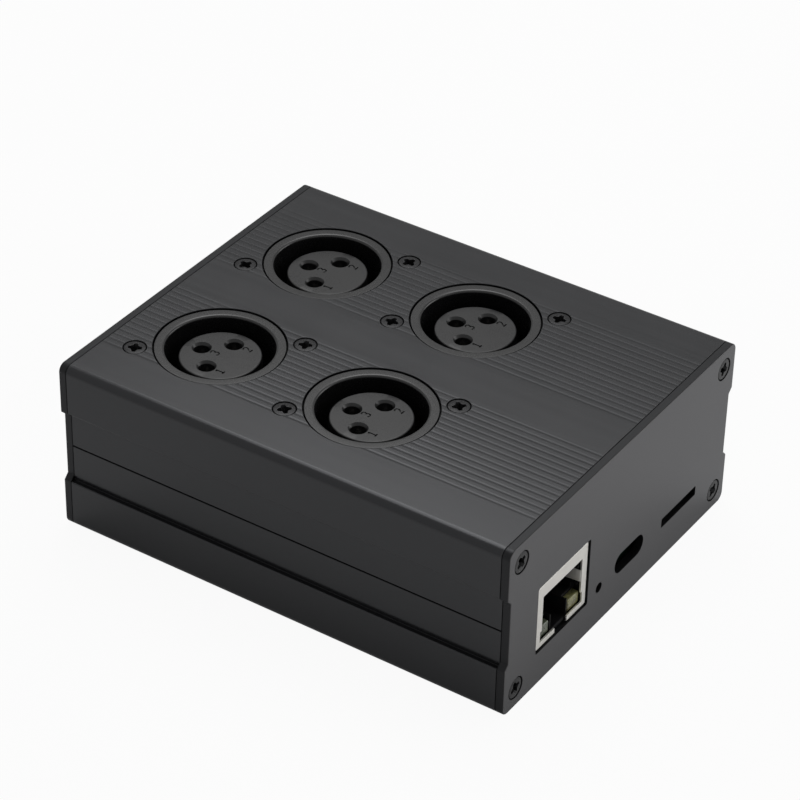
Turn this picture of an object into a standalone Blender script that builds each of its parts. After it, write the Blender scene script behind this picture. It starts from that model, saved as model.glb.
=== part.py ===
"""Lighting control interface box: two extruded half shells, two end plates, four XLR sockets, two boards.

Frame: X along the box with the port plate at +X, Y across it, Z up, origin at the middle of the base.
Units are metres.
"""

import math

import bmesh
import bpy
from mathutils import Matrix, Vector

MM = 0.001

# Enclosure
BOX_WIDTH = 76.0 * MM
BOX_HEIGHT = 35.0 * MM
PLATE_THICKNESS = 1.5 * MM
PLATE_RIM = 0.2 * MM
SKIN_THICKNESS = 2.0 * MM
WALL_THICKNESS = 1.6 * MM
CORNER_RADIUS = 1.6 * MM
STEP_DEPTH = 1.0 * MM
STEP_HALF_HEIGHT = 7.5 * MM
STEP_ROUND = 0.35 * MM
FIT = 0.3 * MM

# Tongue and rebate where the half shells meet
TONGUE_THICKNESS = 0.7 * MM
TONGUE_HEIGHT = 1.2 * MM

# Grooves along the top and the base
GROOVES_PER_BAND = 15
GROOVE_PITCH = 1.53 * MM
GROOVE_MOUTH = 0.8 * MM
GROOVE_DEPTH = 0.35 * MM
SHELL_SHARP_ANGLE = 33

# Screw ports in the corners of the shells, and the plate screws that they take
PORT_INSET_Y = 3.9 * MM
PORT_INSET_Z = 4.0 * MM
PORT_BORE = 2.0 * MM
PORT_WALL = 1.7 * MM
PORT_SLOT = 1.1 * MM
PORT_ROOF = 0.2 * MM
PLATE_SCREW_HEAD = 4.0 * MM
PLATE_SCREW_LENGTH = 10.0 * MM
PLATE_SCREW_TURN = math.radians(17)

# Countersunk screws
SCREW_HEAD_RECESS = 0.1 * MM
SCREW_CONE_SLOPE = 1.0
SCREW_RIM = 0.3 * MM
CROSS_SPAN = 0.62
CROSS_WIDTH = 0.17
CROSS_DEPTH = 0.28
CROSS_TAPER = 0.45
SINK_CLEARANCE = 0.2 * MM

# Rails that hold the controller board
BOARD_THICKNESS = 1.6 * MM
BOARD_CORNER = 1.0 * MM
RAIL_THICKNESS = 1.2 * MM
RAIL_REACH = 1.8 * MM

# XLR sockets
REAR_MARGIN = 2.6 * MM
FLANGE_GAP = 1.6 * MM
ROW_GAP = 7.3 * MM
PANEL_HOLE = 24.2 * MM
RING_RECESS = 0.2 * MM
RING_BORE = 19.8 * MM
RING_CHAMFER = 0.3 * MM
HOUSING_LENGTH = 17.8 * MM
HOUSING_FLOOR = 2.0 * MM
FLANGE_LENGTH = 31.0 * MM
FLANGE_WIDTH = 26.0 * MM
FLANGE_THICKNESS = 2.0 * MM
FLANGE_CORNER = 3.0 * MM
FLANGE_BOSS = 5.6 * MM
FLANGE_BOSS_HEIGHT = 3.0 * MM
FLANGE_SCREW_X = 24.2 * MM
FLANGE_SCREW_Y = 18.2 * MM
FLANGE_SCREW_HEAD = 4.0 * MM
FLANGE_SCREW_SHANK = 2.0 * MM
FLANGE_SCREW_LENGTH = 8.0 * MM
FLANGE_SCREW_TURN = math.radians(23)
INSERT_DIAMETER = 15.0 * MM
INSERT_RECESS = 2.05 * MM
INSERT_CHAMFER = 0.3 * MM
CONTACT_CIRCLE = 8.3 * MM
CONTACT_MOUTH = 3.5 * MM
CONTACT_MOUTH_DEPTH = 0.5 * MM
CONTACT_HOLE = 2.9 * MM
CONTACT_HOLE_DEPTH = 3.0 * MM
CONTACT_DIAMETER = 3.4 * MM
CONTACT_BORE = 2.5 * MM
CONTACT_TAIL = 1.2 * MM
CONTACT_BASE = 1.0 * MM
TAIL_BELOW_BOARD = 1.0 * MM

# Boards and what joins them
CONTROLLER_MARGIN = 0.6 * MM
SOCKET_BOARD_WIDTH = 60.0 * MM
SOCKET_BOARD_MARGIN = 1.5 * MM
HEADER_COLUMNS = 4
HEADER_PITCH = 2.54 * MM
HEADER_PIN = 0.64 * MM
HEADER_BASE_HEIGHT = 2.0 * MM
HEADER_SHARE = 0.5
DRIVER_LENGTH = 4.9 * MM
DRIVER_WIDTH = 3.9 * MM
DRIVER_HEIGHT = 1.5 * MM
DRIVER_TAPER = 0.15 * MM
DRIVER_LEADS = 4
LEAD_PITCH = 1.27 * MM
LEAD_REACH = 1.0 * MM
LEAD_THICKNESS = 0.2 * MM
PROCESSOR_SIDE = 14.0 * MM
PROCESSOR_HEIGHT = 1.4 * MM
PROCESSOR_BEVEL = 0.25 * MM
PROCESSOR_MARGIN = 6.1 * MM

# Network jack
JACK_Y = -19.5 * MM
JACK_MARGIN = 4.75 * MM
JACK_WIDTH = 16.2 * MM
JACK_HEIGHT = 13.5 * MM
JACK_DEPTH = 21.3 * MM
JACK_RECESS = 0.25 * MM
JACK_OPENING_GAP = 0.4 * MM
JACK_CORNER = 0.4 * MM
SHEET = 0.3 * MM
WINDOW_WIDTH = 12.7 * MM
WINDOW_SILL = 1.1 * MM
WINDOW_LINTEL = 2.7 * MM
SILL_GAP = 4.0 * MM
LEAF_HEIGHT = 2.4 * MM
LEAF_LENGTH = 7.0 * MM
LEAF_LEAN = 0.5 * MM
LEAF_RISE = 1.05 * MM
PLUG_WIDTH = 11.8 * MM
PLUG_HEIGHT = 6.6 * MM
PLUG_DEPTH = 14.0 * MM
LATCH_WIDTH = 5.0 * MM
LATCH_DEPTH = 10.0 * MM
LAMP_WIDTH = 3.7 * MM
LAMP_HEIGHT = 2.5 * MM
LAMP_DEPTH = 6.0 * MM
LAMP_LEDGE = 0.9 * MM
LAMP_BEVEL = 0.2 * MM
WIRE_COUNT = 8
WIRE_PITCH = 1.02 * MM
WIRE_WIDTH = 0.4 * MM
WIRE_DROP = 2.2 * MM
WIRE_LENGTH = 7.0 * MM
WIRE_START = 1.5 * MM
WIRE_ROOT = 0.25

# Reset switch behind the pinhole
RESET_Y = -7.2 * MM
PINHOLE = 2.0 * MM
SWITCH_WIDTH = 3.6 * MM
SWITCH_DEPTH = 3.0 * MM
SWITCH_WALL = 0.3 * MM
SWITCH_CLEARANCE = 0.15 * MM
PLUNGER_WIDTH = 1.8 * MM
PLUNGER_HEIGHT = 0.6 * MM
PLUNGER_REACH = 0.9 * MM
PLUNGER_TRAVEL = 0.25 * MM
PLUNGER_HEEL = 0.4 * MM

# USB-C receptacle
USB_Y = 3.1 * MM
USB_WIDTH = 8.9 * MM
USB_HEIGHT = 3.2 * MM
USB_DEPTH = 7.4 * MM
USB_WALL = 0.3 * MM
USB_TONGUE_WIDTH = 6.7 * MM
USB_TONGUE_HEIGHT = 0.7 * MM
USB_TONGUE_DEPTH = 4.6 * MM
USB_OPENING_MARGIN = 0.5 * MM

# Memory card and its socket
CARD_Y = 20.7 * MM
CARD_WIDTH = 11.0 * MM
CARD_LENGTH = 15.0 * MM
CARD_THICKNESS = 1.0 * MM
CARD_NOSE_WIDTH = 9.7 * MM
CARD_NOSE_LENGTH = 6.4 * MM
CARD_RECESS = 1.5 * MM
CARD_SLOT_WIDTH = 12.3 * MM
CARD_SLOT_HEIGHT = 2.0 * MM
CARD_SLOT_CORNER = 0.2 * MM
CARD_SOCKET_DEPTH = 14.6 * MM
CARD_SOCKET_WALL = 0.3 * MM

# Facets of round forms
RING_FACETS = 28
INSERT_FACETS = 24
PORT_BORE_FACETS = 14
SCREW_FACETS = 12
SMALL_FACETS = 10
PIN_FACETS = 8
TAIL_HOLE_FACETS = 6
OBROUND_FACETS = 5
CORNER_FACETS = 4
EDGE_FACETS = 3
TINY_CORNER_FACETS = 2

# Degrees
QUARTER_TURN = 90
HALF_TURN = 180
SMOOTH_ANGLE = 40
CONTACT_SMOOTH_ANGLE = 50
BEVEL_ANGLE = 60

# How far a cutter passes the face that it opens, and how far joined shapes reach into each other
CUT_PAST = 1.0 * MM

# Flat left between the two quarter rounds of an obround's end
ROUND_END_FLAT = 0.01 * MM

# The box is as long as its two plates, the two columns of sockets and the jack need
JACK_BEHIND_PLATE = JACK_DEPTH + JACK_RECESS - PLATE_THICKNESS
SOCKET_PITCH_X = FLANGE_LENGTH + FLANGE_GAP
SOCKET_PITCH_Y = FLANGE_WIDTH + ROW_GAP
SOCKET_SPAN = SOCKET_PITCH_X + FLANGE_LENGTH
BOX_LENGTH = 2 * PLATE_THICKNESS + REAR_MARGIN + SOCKET_SPAN + JACK_MARGIN + JACK_BEHIND_PLATE
SOCKET_CENTRE_X = PLATE_THICKNESS + REAR_MARGIN + SOCKET_SPAN / 2 - BOX_LENGTH / 2

# Heights and places that follow from the sizes above
MID_HEIGHT = BOX_HEIGHT / 2
SHELL_LENGTH = BOX_LENGTH - 2 * PLATE_THICKNESS - 2 * FIT
PLATE_OUTER_X = BOX_LENGTH / 2
PLATE_INNER_X = PLATE_OUTER_X - PLATE_THICKNESS
PORT_Y = BOX_WIDTH / 2 - PORT_INSET_Y
PORT_TOP = PORT_INSET_Z + PORT_BORE / 2 + PORT_ROOF
BOARD_BOTTOM = PORT_TOP + FIT
BOARD_TOP = BOARD_BOTTOM + BOARD_THICKNESS
SEAT = BOARD_TOP + FIT
INNER_WALL_Y = BOX_WIDTH / 2 - WALL_THICKNESS
STEP_WALL_Y = BOX_WIDTH / 2 - STEP_DEPTH - WALL_THICKNESS
PANEL_UNDERSIDE = BOX_HEIGHT - SKIN_THICKNESS
RING_TOP = BOX_HEIGHT - RING_RECESS
FLANGE_TOP = PANEL_UNDERSIDE - FIT
HOUSING_BOTTOM = RING_TOP - HOUSING_LENGTH
INSERT_TOP = BOX_HEIGHT - INSERT_RECESS
INSERT_BOTTOM = HOUSING_BOTTOM + HOUSING_FLOOR + FIT
SOCKET_BOARD_TOP = HOUSING_BOTTOM - FIT
SOCKET_BOARD_BOTTOM = SOCKET_BOARD_TOP - BOARD_THICKNESS
RING_DIAMETER = PANEL_HOLE - 2 * FIT
HEADER_BASE_TOP = SEAT + HEADER_BASE_HEIGHT
HEADER_SOCKET_BOTTOM = HEADER_BASE_TOP + FIT
HEADER_SOCKET_TOP = SOCKET_BOARD_BOTTOM - FIT
HEADER_PIN_TOP = HEADER_SOCKET_BOTTOM + HEADER_SHARE * (HEADER_SOCKET_TOP - HEADER_SOCKET_BOTTOM)
CONTROLLER_END = SHELL_LENGTH / 2 - CONTROLLER_MARGIN
PROCESSOR_X = PROCESSOR_MARGIN + PROCESSOR_SIDE / 2 - CONTROLLER_END
CONTACT_CELL = CONTACT_DIAMETER + 2 * FIT
TAIL_HOLE = CONTACT_TAIL + 2 * FIT
JACK_FRONT = PLATE_OUTER_X - JACK_RECESS
JACK_TOP = SEAT + JACK_HEIGHT
USB_Z = SEAT + USB_HEIGHT / 2
CARD_BOTTOM = SEAT + CARD_SOCKET_WALL + FIT
CARD_Z = CARD_BOTTOM + CARD_THICKNESS / 2
CARD_FRONT = PLATE_OUTER_X - CARD_RECESS
PLUNGER_Z = SEAT + SWITCH_WALL + SWITCH_CLEARANCE + PLUNGER_HEIGHT / 2
PORT_FRONT = PLATE_INNER_X - FIT


def clear_scene():
    for obj in list(bpy.data.objects):
        bpy.data.objects.remove(obj, do_unlink=True)


def material(name, colour, roughness, metallic):
    made = bpy.data.materials.get(name)
    if made is None:
        made = bpy.data.materials.new(name)
        made.use_nodes = True
        shader = made.node_tree.nodes["Principled BSDF"]
        shader.inputs["Base Color"].default_value = (*colour, 1.0)
        shader.inputs["Roughness"].default_value = roughness
        shader.inputs["Metallic"].default_value = metallic
    return made


def anodised_black():
    return material("anodised_black", (0.028, 0.028, 0.031), 0.42, 0.6)


def socket_plastic():
    return material("socket_plastic", (0.022, 0.022, 0.024), 0.5, 0.0)


def insert_plastic():
    return material("insert_plastic", (0.03, 0.03, 0.032), 0.45, 0.0)


def black_screw_steel():
    return material("black_screw_steel", (0.05, 0.05, 0.052), 0.3, 0.9)


def contact_metal():
    return material("contact_metal", (0.75, 0.72, 0.66), 0.3, 1.0)


def board_laminate():
    return material("board_laminate", (0.01, 0.045, 0.02), 0.45, 0.0)


def chip_epoxy():
    return material("chip_epoxy", (0.02, 0.02, 0.022), 0.6, 0.0)


def header_plastic():
    return material("header_plastic", (0.015, 0.015, 0.016), 0.55, 0.0)


def shield_metal():
    return material("shield_metal", (0.78, 0.76, 0.7), 0.32, 1.0)


def jack_plastic():
    return material("jack_plastic", (0.012, 0.012, 0.013), 0.5, 0.0)


def lamp_green():
    return material("lamp_green", (0.22, 0.3, 0.12), 0.3, 0.0)


def lamp_yellow():
    return material("lamp_yellow", (0.42, 0.4, 0.16), 0.3, 0.0)


def card_plastic():
    return material("card_plastic", (0.012, 0.012, 0.013), 0.4, 0.0)


def plunger_plastic():
    return material("plunger_plastic", (0.03, 0.03, 0.03), 0.5, 0.0)


def new_object(name, mesh, finish=None):
    obj = bpy.data.objects.new(name, mesh)
    bpy.context.scene.collection.objects.link(obj)
    if finish is not None:
        mesh.materials.clear()
        mesh.materials.append(finish)
    return obj


def mesh_from(shape, name):
    """Closes off a bmesh into a mesh whose faces point out."""
    bmesh.ops.remove_doubles(shape, verts=shape.verts, dist=1e-7)
    bmesh.ops.recalc_face_normals(shape, faces=shape.faces)
    mesh = bpy.data.meshes.new(name)
    shape.to_mesh(mesh)
    shape.free()
    return mesh


def prism(outline, low, high, along="Z"):
    """Mesh of an outline pushed from low to high: (x, y) points along Z, or (y, z) points along X."""
    shape = bmesh.new()
    if along == "Z":
        base = [shape.verts.new((a, b, low)) for a, b in outline]
        push = Vector((0, 0, high - low))
    else:
        base = [shape.verts.new((low, a, b)) for a, b in outline]
        push = Vector((high - low, 0, 0))
    face = shape.faces.new(base)
    pushed = bmesh.ops.extrude_face_region(shape, geom=[face])
    moved = [item for item in pushed["geom"] if isinstance(item, bmesh.types.BMVert)]
    bmesh.ops.translate(shape, verts=moved, vec=push)
    return mesh_from(shape, "prism")


def rimmed_prism(outline, low, high, chamfer):
    """Mesh of a (y, z) outline pushed along X from low to high, with a chamfer round its high face."""
    shape = bmesh.new()
    shape.from_mesh(prism(outline, low, high - chamfer, "X"))
    shape.faces.ensure_lookup_table()
    face = max(shape.faces, key=lambda item: item.calc_center_median().x)
    bmesh.ops.inset_region(shape, faces=[face], thickness=chamfer, depth=chamfer, use_even_offset=True)
    return mesh_from(shape, "rimmed_prism")


def upright_prism(outline, low, high):
    """Mesh of an (x, z) outline pushed along Y from low to high."""
    mesh = prism(outline, -high, -low)
    mesh.transform(Matrix.Rotation(math.pi / 2, 4, "X"))
    return mesh


def block(low, high):
    """Mesh of a box between two corners."""
    (x0, y0, z0), (x1, y1, z1) = low, high
    return prism([(x0, y0), (x1, y0), (x1, y1), (x0, y1)], z0, z1)


def turned(profile, facets, centre=(0, 0, 0), axis="Z"):
    """Mesh of (radius, height) points turned about an axis. The profile starts and ends on it."""
    shape = bmesh.new()
    points = [shape.verts.new((radius, 0, height)) for radius, height in profile]
    edges = [shape.edges.new(pair) for pair in zip(points[:-1], points[1:])]
    bmesh.ops.spin(
        shape,
        geom=points + edges,
        cent=(0, 0, 0),
        axis=(0, 0, 1),
        angle=2 * math.pi,
        steps=facets,
        use_merge=True,
    )
    turn = Matrix.Identity(4)
    if axis == "X":
        turn = Matrix.Rotation(math.pi / 2, 4, "Y")
    bmesh.ops.transform(shape, matrix=Matrix.Translation(centre) @ turn, verts=shape.verts)
    return mesh_from(shape, "turned")


def rod(diameter, low, high, facets, centre=(0, 0), axis="Z"):
    """Mesh of a plain round bar from low to high on the axis, through centre across it."""
    profile = [(0, low), (diameter / 2, low), (diameter / 2, high), (0, high)]
    place = (*centre, 0) if axis == "Z" else (0, *centre)
    return turned(profile, facets, place, axis)


def boolean(first, second, operation):
    """Mesh of two meshes joined, or of the first with the second cut from it."""
    base = new_object("base", first)
    tool = new_object("tool", second)
    modifier = base.modifiers.new(operation, "BOOLEAN")
    modifier.operation = operation
    modifier.solver = "EXACT"
    modifier.object = tool
    graph = bpy.context.evaluated_depsgraph_get()
    mesh = bpy.data.meshes.new_from_object(base.evaluated_get(graph))
    bpy.data.objects.remove(base)
    bpy.data.objects.remove(tool)
    return mesh


def cut(mesh, *tools):
    for tool in tools:
        mesh = boolean(mesh, tool, "DIFFERENCE")
    return mesh


def join(mesh, *others):
    for other in others:
        mesh = boolean(mesh, other, "UNION")
    return mesh


def together(meshes):
    """One mesh of several that don't touch, to cut with in one go."""
    shape = bmesh.new()
    for mesh in meshes:
        shape.from_mesh(mesh)
    made = bpy.data.meshes.new("together")
    shape.to_mesh(made)
    shape.free()
    return made


def bevelled(mesh, width):
    """Mesh with a flat bevel on its sharp edges."""
    obj = new_object("bevelled", mesh)
    modifier = obj.modifiers.new("Bevel", "BEVEL")
    modifier.width = width
    modifier.segments = 1
    modifier.limit_method = "ANGLE"
    modifier.angle_limit = math.radians(BEVEL_ANGLE)
    graph = bpy.context.evaluated_depsgraph_get()
    made = bpy.data.meshes.new_from_object(obj.evaluated_get(graph))
    bpy.data.objects.remove(obj)
    return made


def smooth(mesh, angle=SMOOTH_ANGLE):
    mesh.shade_smooth()
    mesh.set_sharp_from_angle(angle=math.radians(angle))
    return mesh


def arc(centre, radius, start, end, facets):
    """Points on an arc between two angles in degrees."""
    a, b = centre
    angles = [math.radians(start + (end - start) * i / facets) for i in range(facets + 1)]
    return [(a + radius * math.cos(angle), b + radius * math.sin(angle)) for angle in angles]


def rounded_rectangle(width, height, radius, facets, centre=(0, 0)):
    a, b = width / 2 - radius, height / 2 - radius
    points = []
    for quarter, (sign_a, sign_b) in enumerate(((1, 1), (-1, 1), (-1, -1), (1, -1))):
        middle = (centre[0] + sign_a * a, centre[1] + sign_b * b)
        start = quarter * QUARTER_TURN
        points += arc(middle, radius, start, start + QUARTER_TURN, facets)
    return points


def obround(width, height, centre):
    """Outline with straight long sides and round ends."""
    return rounded_rectangle(width, height, height / 2 - ROUND_END_FLAT, OBROUND_FACETS, centre)


def mirrored(points):
    return [(-y, z) for y, z in reversed(points)]


# Enclosure


def groove_band(centre):
    """Points across one band of grooves in the base, from low y to high y."""
    points = []
    for i in range(GROOVES_PER_BAND):
        middle = centre + (i - (GROOVES_PER_BAND - 1) / 2) * GROOVE_PITCH
        points += [(middle - GROOVE_MOUTH / 2, 0), (middle, GROOVE_DEPTH), (middle + GROOVE_MOUTH / 2, 0)]
    return points


def outer_side():
    """Points up the outside of the +Y wall of the lower shell, from the base to the seam."""
    half = BOX_WIDTH / 2
    ledge = MID_HEIGHT - STEP_HALF_HEIGHT
    corner = arc((half - CORNER_RADIUS, CORNER_RADIUS), CORNER_RADIUS, -QUARTER_TURN, 0, CORNER_FACETS)
    shoulder = arc((half - STEP_ROUND, ledge - STEP_ROUND), STEP_ROUND, 0, QUARTER_TURN, EDGE_FACETS)
    return corner + shoulder + [(half - STEP_DEPTH, ledge), (half - STEP_DEPTH, MID_HEIGHT - FIT / 2)]


def seam_edge(tongue):
    """Points over the top of the +Y wall at the seam, from the outside in, with a tongue or a rebate."""
    seam = MID_HEIGHT - FIT / 2
    if tongue:
        tip = STEP_WALL_Y + TONGUE_THICKNESS
        return [(tip, seam), (tip, seam + TONGUE_HEIGHT), (STEP_WALL_Y, seam + TONGUE_HEIGHT)]
    back = STEP_WALL_Y + TONGUE_THICKNESS + FIT
    return [(back, seam), (back, seam - TONGUE_HEIGHT), (STEP_WALL_Y, seam - TONGUE_HEIGHT)]


def inner_side():
    """Points down the inside of the +Y wall: over the rail, round the screw port, onto the floor."""
    rail_low = BOARD_TOP + FIT
    rail_high = rail_low + RAIL_THICKNESS
    rail_tip = INNER_WALL_Y - RAIL_REACH
    centre = (PORT_Y, PORT_INSET_Z)
    bore = PORT_BORE / 2
    outside = bore + PORT_WALL
    roof = math.degrees(math.asin((PORT_TOP - PORT_INSET_Z) / outside))
    floor = math.degrees(math.asin((PORT_INSET_Z - SKIN_THICKNESS) / outside))
    lip_outside = math.degrees(math.asin(PORT_SLOT / 2 / outside))
    lip_bore = math.degrees(math.asin(PORT_SLOT / 2 / bore))
    points = [
        (STEP_WALL_Y, rail_high),
        (rail_tip, rail_high),
        (rail_tip, rail_low),
        (INNER_WALL_Y, rail_low),
        (INNER_WALL_Y, PORT_TOP),
    ]
    points += arc(centre, outside, HALF_TURN - roof, HALF_TURN - lip_outside, EDGE_FACETS)
    points += arc(centre, bore, HALF_TURN - lip_bore, lip_bore - HALF_TURN, PORT_BORE_FACETS)
    points += arc(centre, outside, HALF_TURN + lip_outside, HALF_TURN + floor, EDGE_FACETS)
    return points


def shell_section():
    """Section of the lower shell: the same extrusion, turned over, makes the upper one."""
    band = SOCKET_PITCH_Y / 2
    right = outer_side() + seam_edge(tongue=False) + inner_side()
    left = outer_side() + seam_edge(tongue=True) + inner_side()
    base = groove_band(-band) + groove_band(band)
    return base + right + mirrored(left)


def shell_mesh():
    return prism(shell_section(), -SHELL_LENGTH / 2, SHELL_LENGTH / 2, "X")


def socket_places():
    """(x, y) of each socket: near row, then far row, from the rear plate to the front one."""
    columns = (SOCKET_CENTRE_X - SOCKET_PITCH_X / 2, SOCKET_CENTRE_X + SOCKET_PITCH_X / 2)
    rows = (-SOCKET_PITCH_Y / 2, SOCKET_PITCH_Y / 2)
    return [(x, y) for y in rows for x in columns]


def flange_screw_places(centre):
    """(x, y) of the two screws of the socket at centre, on the diagonal of its flange."""
    x, y = centre
    return [(x + side * FLANGE_SCREW_X / 2, y + side * FLANGE_SCREW_Y / 2) for side in (-1, 1)]


def sink_depth(head, shank):
    """Depth of a countersunk head's cone between its rim and its shank."""
    return (head - shank) / 2 * SCREW_CONE_SLOPE


def sink_profile(head, shank, thickness):
    """Profile of the hole for a countersunk screw in a sheet whose face is at zero."""
    mouth = head + 2 * SINK_CLEARANCE
    hole = shank + 2 * FIT
    rim = SCREW_HEAD_RECESS + SCREW_RIM
    return [
        (0, -thickness - CUT_PAST),
        (hole / 2, -thickness - CUT_PAST),
        (hole / 2, -rim - sink_depth(mouth, hole)),
        (mouth / 2, -rim),
        (mouth / 2, CUT_PAST),
        (0, CUT_PAST),
    ]


def upper_shell():
    mesh = shell_mesh()
    turn_over = Matrix.Translation((0, 0, MID_HEIGHT)) @ Matrix.Rotation(math.pi, 4, "X")
    mesh.transform(turn_over @ Matrix.Translation((0, 0, -MID_HEIGHT)))
    low, high = PANEL_UNDERSIDE - CUT_PAST, BOX_HEIGHT + CUT_PAST
    profile = sink_profile(FLANGE_SCREW_HEAD, FLANGE_SCREW_SHANK, SKIN_THICKNESS)
    tools = []
    for place in socket_places():
        tools.append(rod(PANEL_HOLE, low, high, RING_FACETS, place))
        for x, y in flange_screw_places(place):
            tools.append(turned(profile, SCREW_FACETS, (x, y, BOX_HEIGHT)))
    mesh = smooth(cut(mesh, together(tools)), SHELL_SHARP_ANGLE)
    return new_object("upper_shell", mesh, anodised_black())


def lower_shell():
    return new_object("lower_shell", smooth(shell_mesh(), SHELL_SHARP_ANGLE), anodised_black())


def plate_outline():
    """Outline of an end plate in (y, z), with sloping shoulders where the side walls step in."""
    half = BOX_WIDTH / 2
    inset = half - CORNER_RADIUS
    low, high = MID_HEIGHT - STEP_HALF_HEIGHT, MID_HEIGHT + STEP_HALF_HEIGHT
    points = arc((inset, CORNER_RADIUS), CORNER_RADIUS, -QUARTER_TURN, 0, CORNER_FACETS)
    points += [
        (half, low),
        (half - STEP_DEPTH, low + STEP_DEPTH),
        (half - STEP_DEPTH, high - STEP_DEPTH),
        (half, high),
    ]
    points += arc((inset, BOX_HEIGHT - CORNER_RADIUS), CORNER_RADIUS, 0, QUARTER_TURN, CORNER_FACETS)
    return points + mirrored(points)


def port_places():
    """(y, z) of the plate screws."""
    return [(side * PORT_Y, z) for side in (-1, 1) for z in (PORT_INSET_Z, BOX_HEIGHT - PORT_INSET_Z)]


def plate_screw_shank():
    return PORT_BORE - 2 * FIT


def plate_mesh():
    """A plate with its four countersunk holes, its inner face on x = 0 and its outer face towards +X."""
    mesh = rimmed_prism(plate_outline(), 0, PLATE_THICKNESS, PLATE_RIM)
    profile = sink_profile(PLATE_SCREW_HEAD, plate_screw_shank(), PLATE_THICKNESS)
    tools = [turned(profile, SCREW_FACETS, (PLATE_THICKNESS, y, z), "X") for y, z in port_places()]
    return cut(mesh, together(tools))


def jack_opening():
    """Outline of the network jack's opening in (y, z)."""
    gap = 2 * JACK_OPENING_GAP
    centre = (JACK_Y, SEAT + JACK_HEIGHT / 2)
    return rounded_rectangle(JACK_WIDTH + gap, JACK_HEIGHT + gap, JACK_CORNER, TINY_CORNER_FACETS, centre)


def card_slot():
    """Outline of the memory card's slot in (y, z)."""
    place = (CARD_Y, CARD_Z)
    corner = CARD_SLOT_CORNER
    return rounded_rectangle(CARD_SLOT_WIDTH, CARD_SLOT_HEIGHT, corner, TINY_CORNER_FACETS, place)


def front_plate():
    mesh = plate_mesh()
    mesh.transform(Matrix.Translation((PLATE_INNER_X, 0, 0)))
    low, high = PLATE_INNER_X - CUT_PAST, PLATE_OUTER_X + CUT_PAST
    usb = obround(USB_WIDTH + 2 * USB_OPENING_MARGIN, USB_HEIGHT + 2 * USB_OPENING_MARGIN, (USB_Y, USB_Z))
    tools = [prism(outline, low, high, "X") for outline in (jack_opening(), usb, card_slot())]
    tools.append(rod(PINHOLE, low, high, SMALL_FACETS, (RESET_Y, PLUNGER_Z), "X"))
    return new_object("front_plate", smooth(cut(mesh, together(tools))), anodised_black())


def rear_plate():
    mesh = plate_mesh()
    mesh.transform(Matrix.Translation((-PLATE_INNER_X, 0, 0)) @ Matrix.Rotation(math.pi, 4, "Z"))
    return new_object("rear_plate", smooth(mesh), anodised_black())


# Screws


def cross_recess(head):
    """Tapered cross that is cut into a head whose face is at zero."""
    span, width = head * CROSS_SPAN / 2, head * CROSS_WIDTH / 2
    wing = ((span, -width), (span, width), (width, width))
    outline = []
    for quarter in range(4):
        turn = Matrix.Rotation(quarter * math.pi / 2, 2)
        outline += [tuple(turn @ Vector(point)) for point in wing]
    mesh = prism(outline, -head * CROSS_DEPTH, CUT_PAST)
    for vertex in mesh.vertices:
        if vertex.co.z < 0:
            vertex.co.x *= CROSS_TAPER
            vertex.co.y *= CROSS_TAPER
    return mesh


def screw_mesh(head, shank, length):
    """Countersunk cross-head screw along -Z, with the top of its head at zero."""
    profile = [
        (0, -length),
        (shank / 2, -length),
        (shank / 2, -SCREW_RIM - sink_depth(head, shank)),
        (head / 2, -SCREW_RIM),
        (head / 2, 0),
        (0, 0),
    ]
    return smooth(cut(turned(profile, SCREW_FACETS), cross_recess(head)))


def plate_screws():
    mesh = screw_mesh(PLATE_SCREW_HEAD, plate_screw_shank(), PLATE_SCREW_LENGTH)
    face = PLATE_OUTER_X - SCREW_HEAD_RECESS
    for side, end in ((1, "front"), (-1, "rear")):
        for number, (y, z) in enumerate(port_places(), 1):
            screw = new_object(f"{end}_screw_{number}", mesh, black_screw_steel())
            screw.location = (side * face, y, z)
            screw.rotation_mode = "ZYX"
            screw.rotation_euler = (number * PLATE_SCREW_TURN, side * math.pi / 2, 0)


# XLR sockets


def ring_profile():
    """Outside of the housing's barrel, from its bottom to the rim of its ring."""
    radius = RING_DIAMETER / 2
    return [
        (0, HOUSING_BOTTOM),
        (radius, HOUSING_BOTTOM),
        (radius, RING_TOP),
        (0, RING_TOP),
    ]


def bore_profile():
    """The round space in the housing that the mating plug's shell enters, wider at its mouth."""
    radius = RING_BORE / 2
    return [
        (0, HOUSING_BOTTOM + HOUSING_FLOOR),
        (radius, HOUSING_BOTTOM + HOUSING_FLOOR),
        (radius, RING_TOP - RING_CHAMFER),
        (radius + RING_CHAMFER, RING_TOP),
        (radius + RING_CHAMFER, RING_TOP + CUT_PAST),
        (0, RING_TOP + CUT_PAST),
    ]


def contact_places():
    """(x, y) of the contacts on their circle: one towards -Y, two towards +Y, three towards -X."""
    radius = CONTACT_CIRCLE / 2
    return [(0, -radius), (0, radius), (-radius, 0)]


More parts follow.
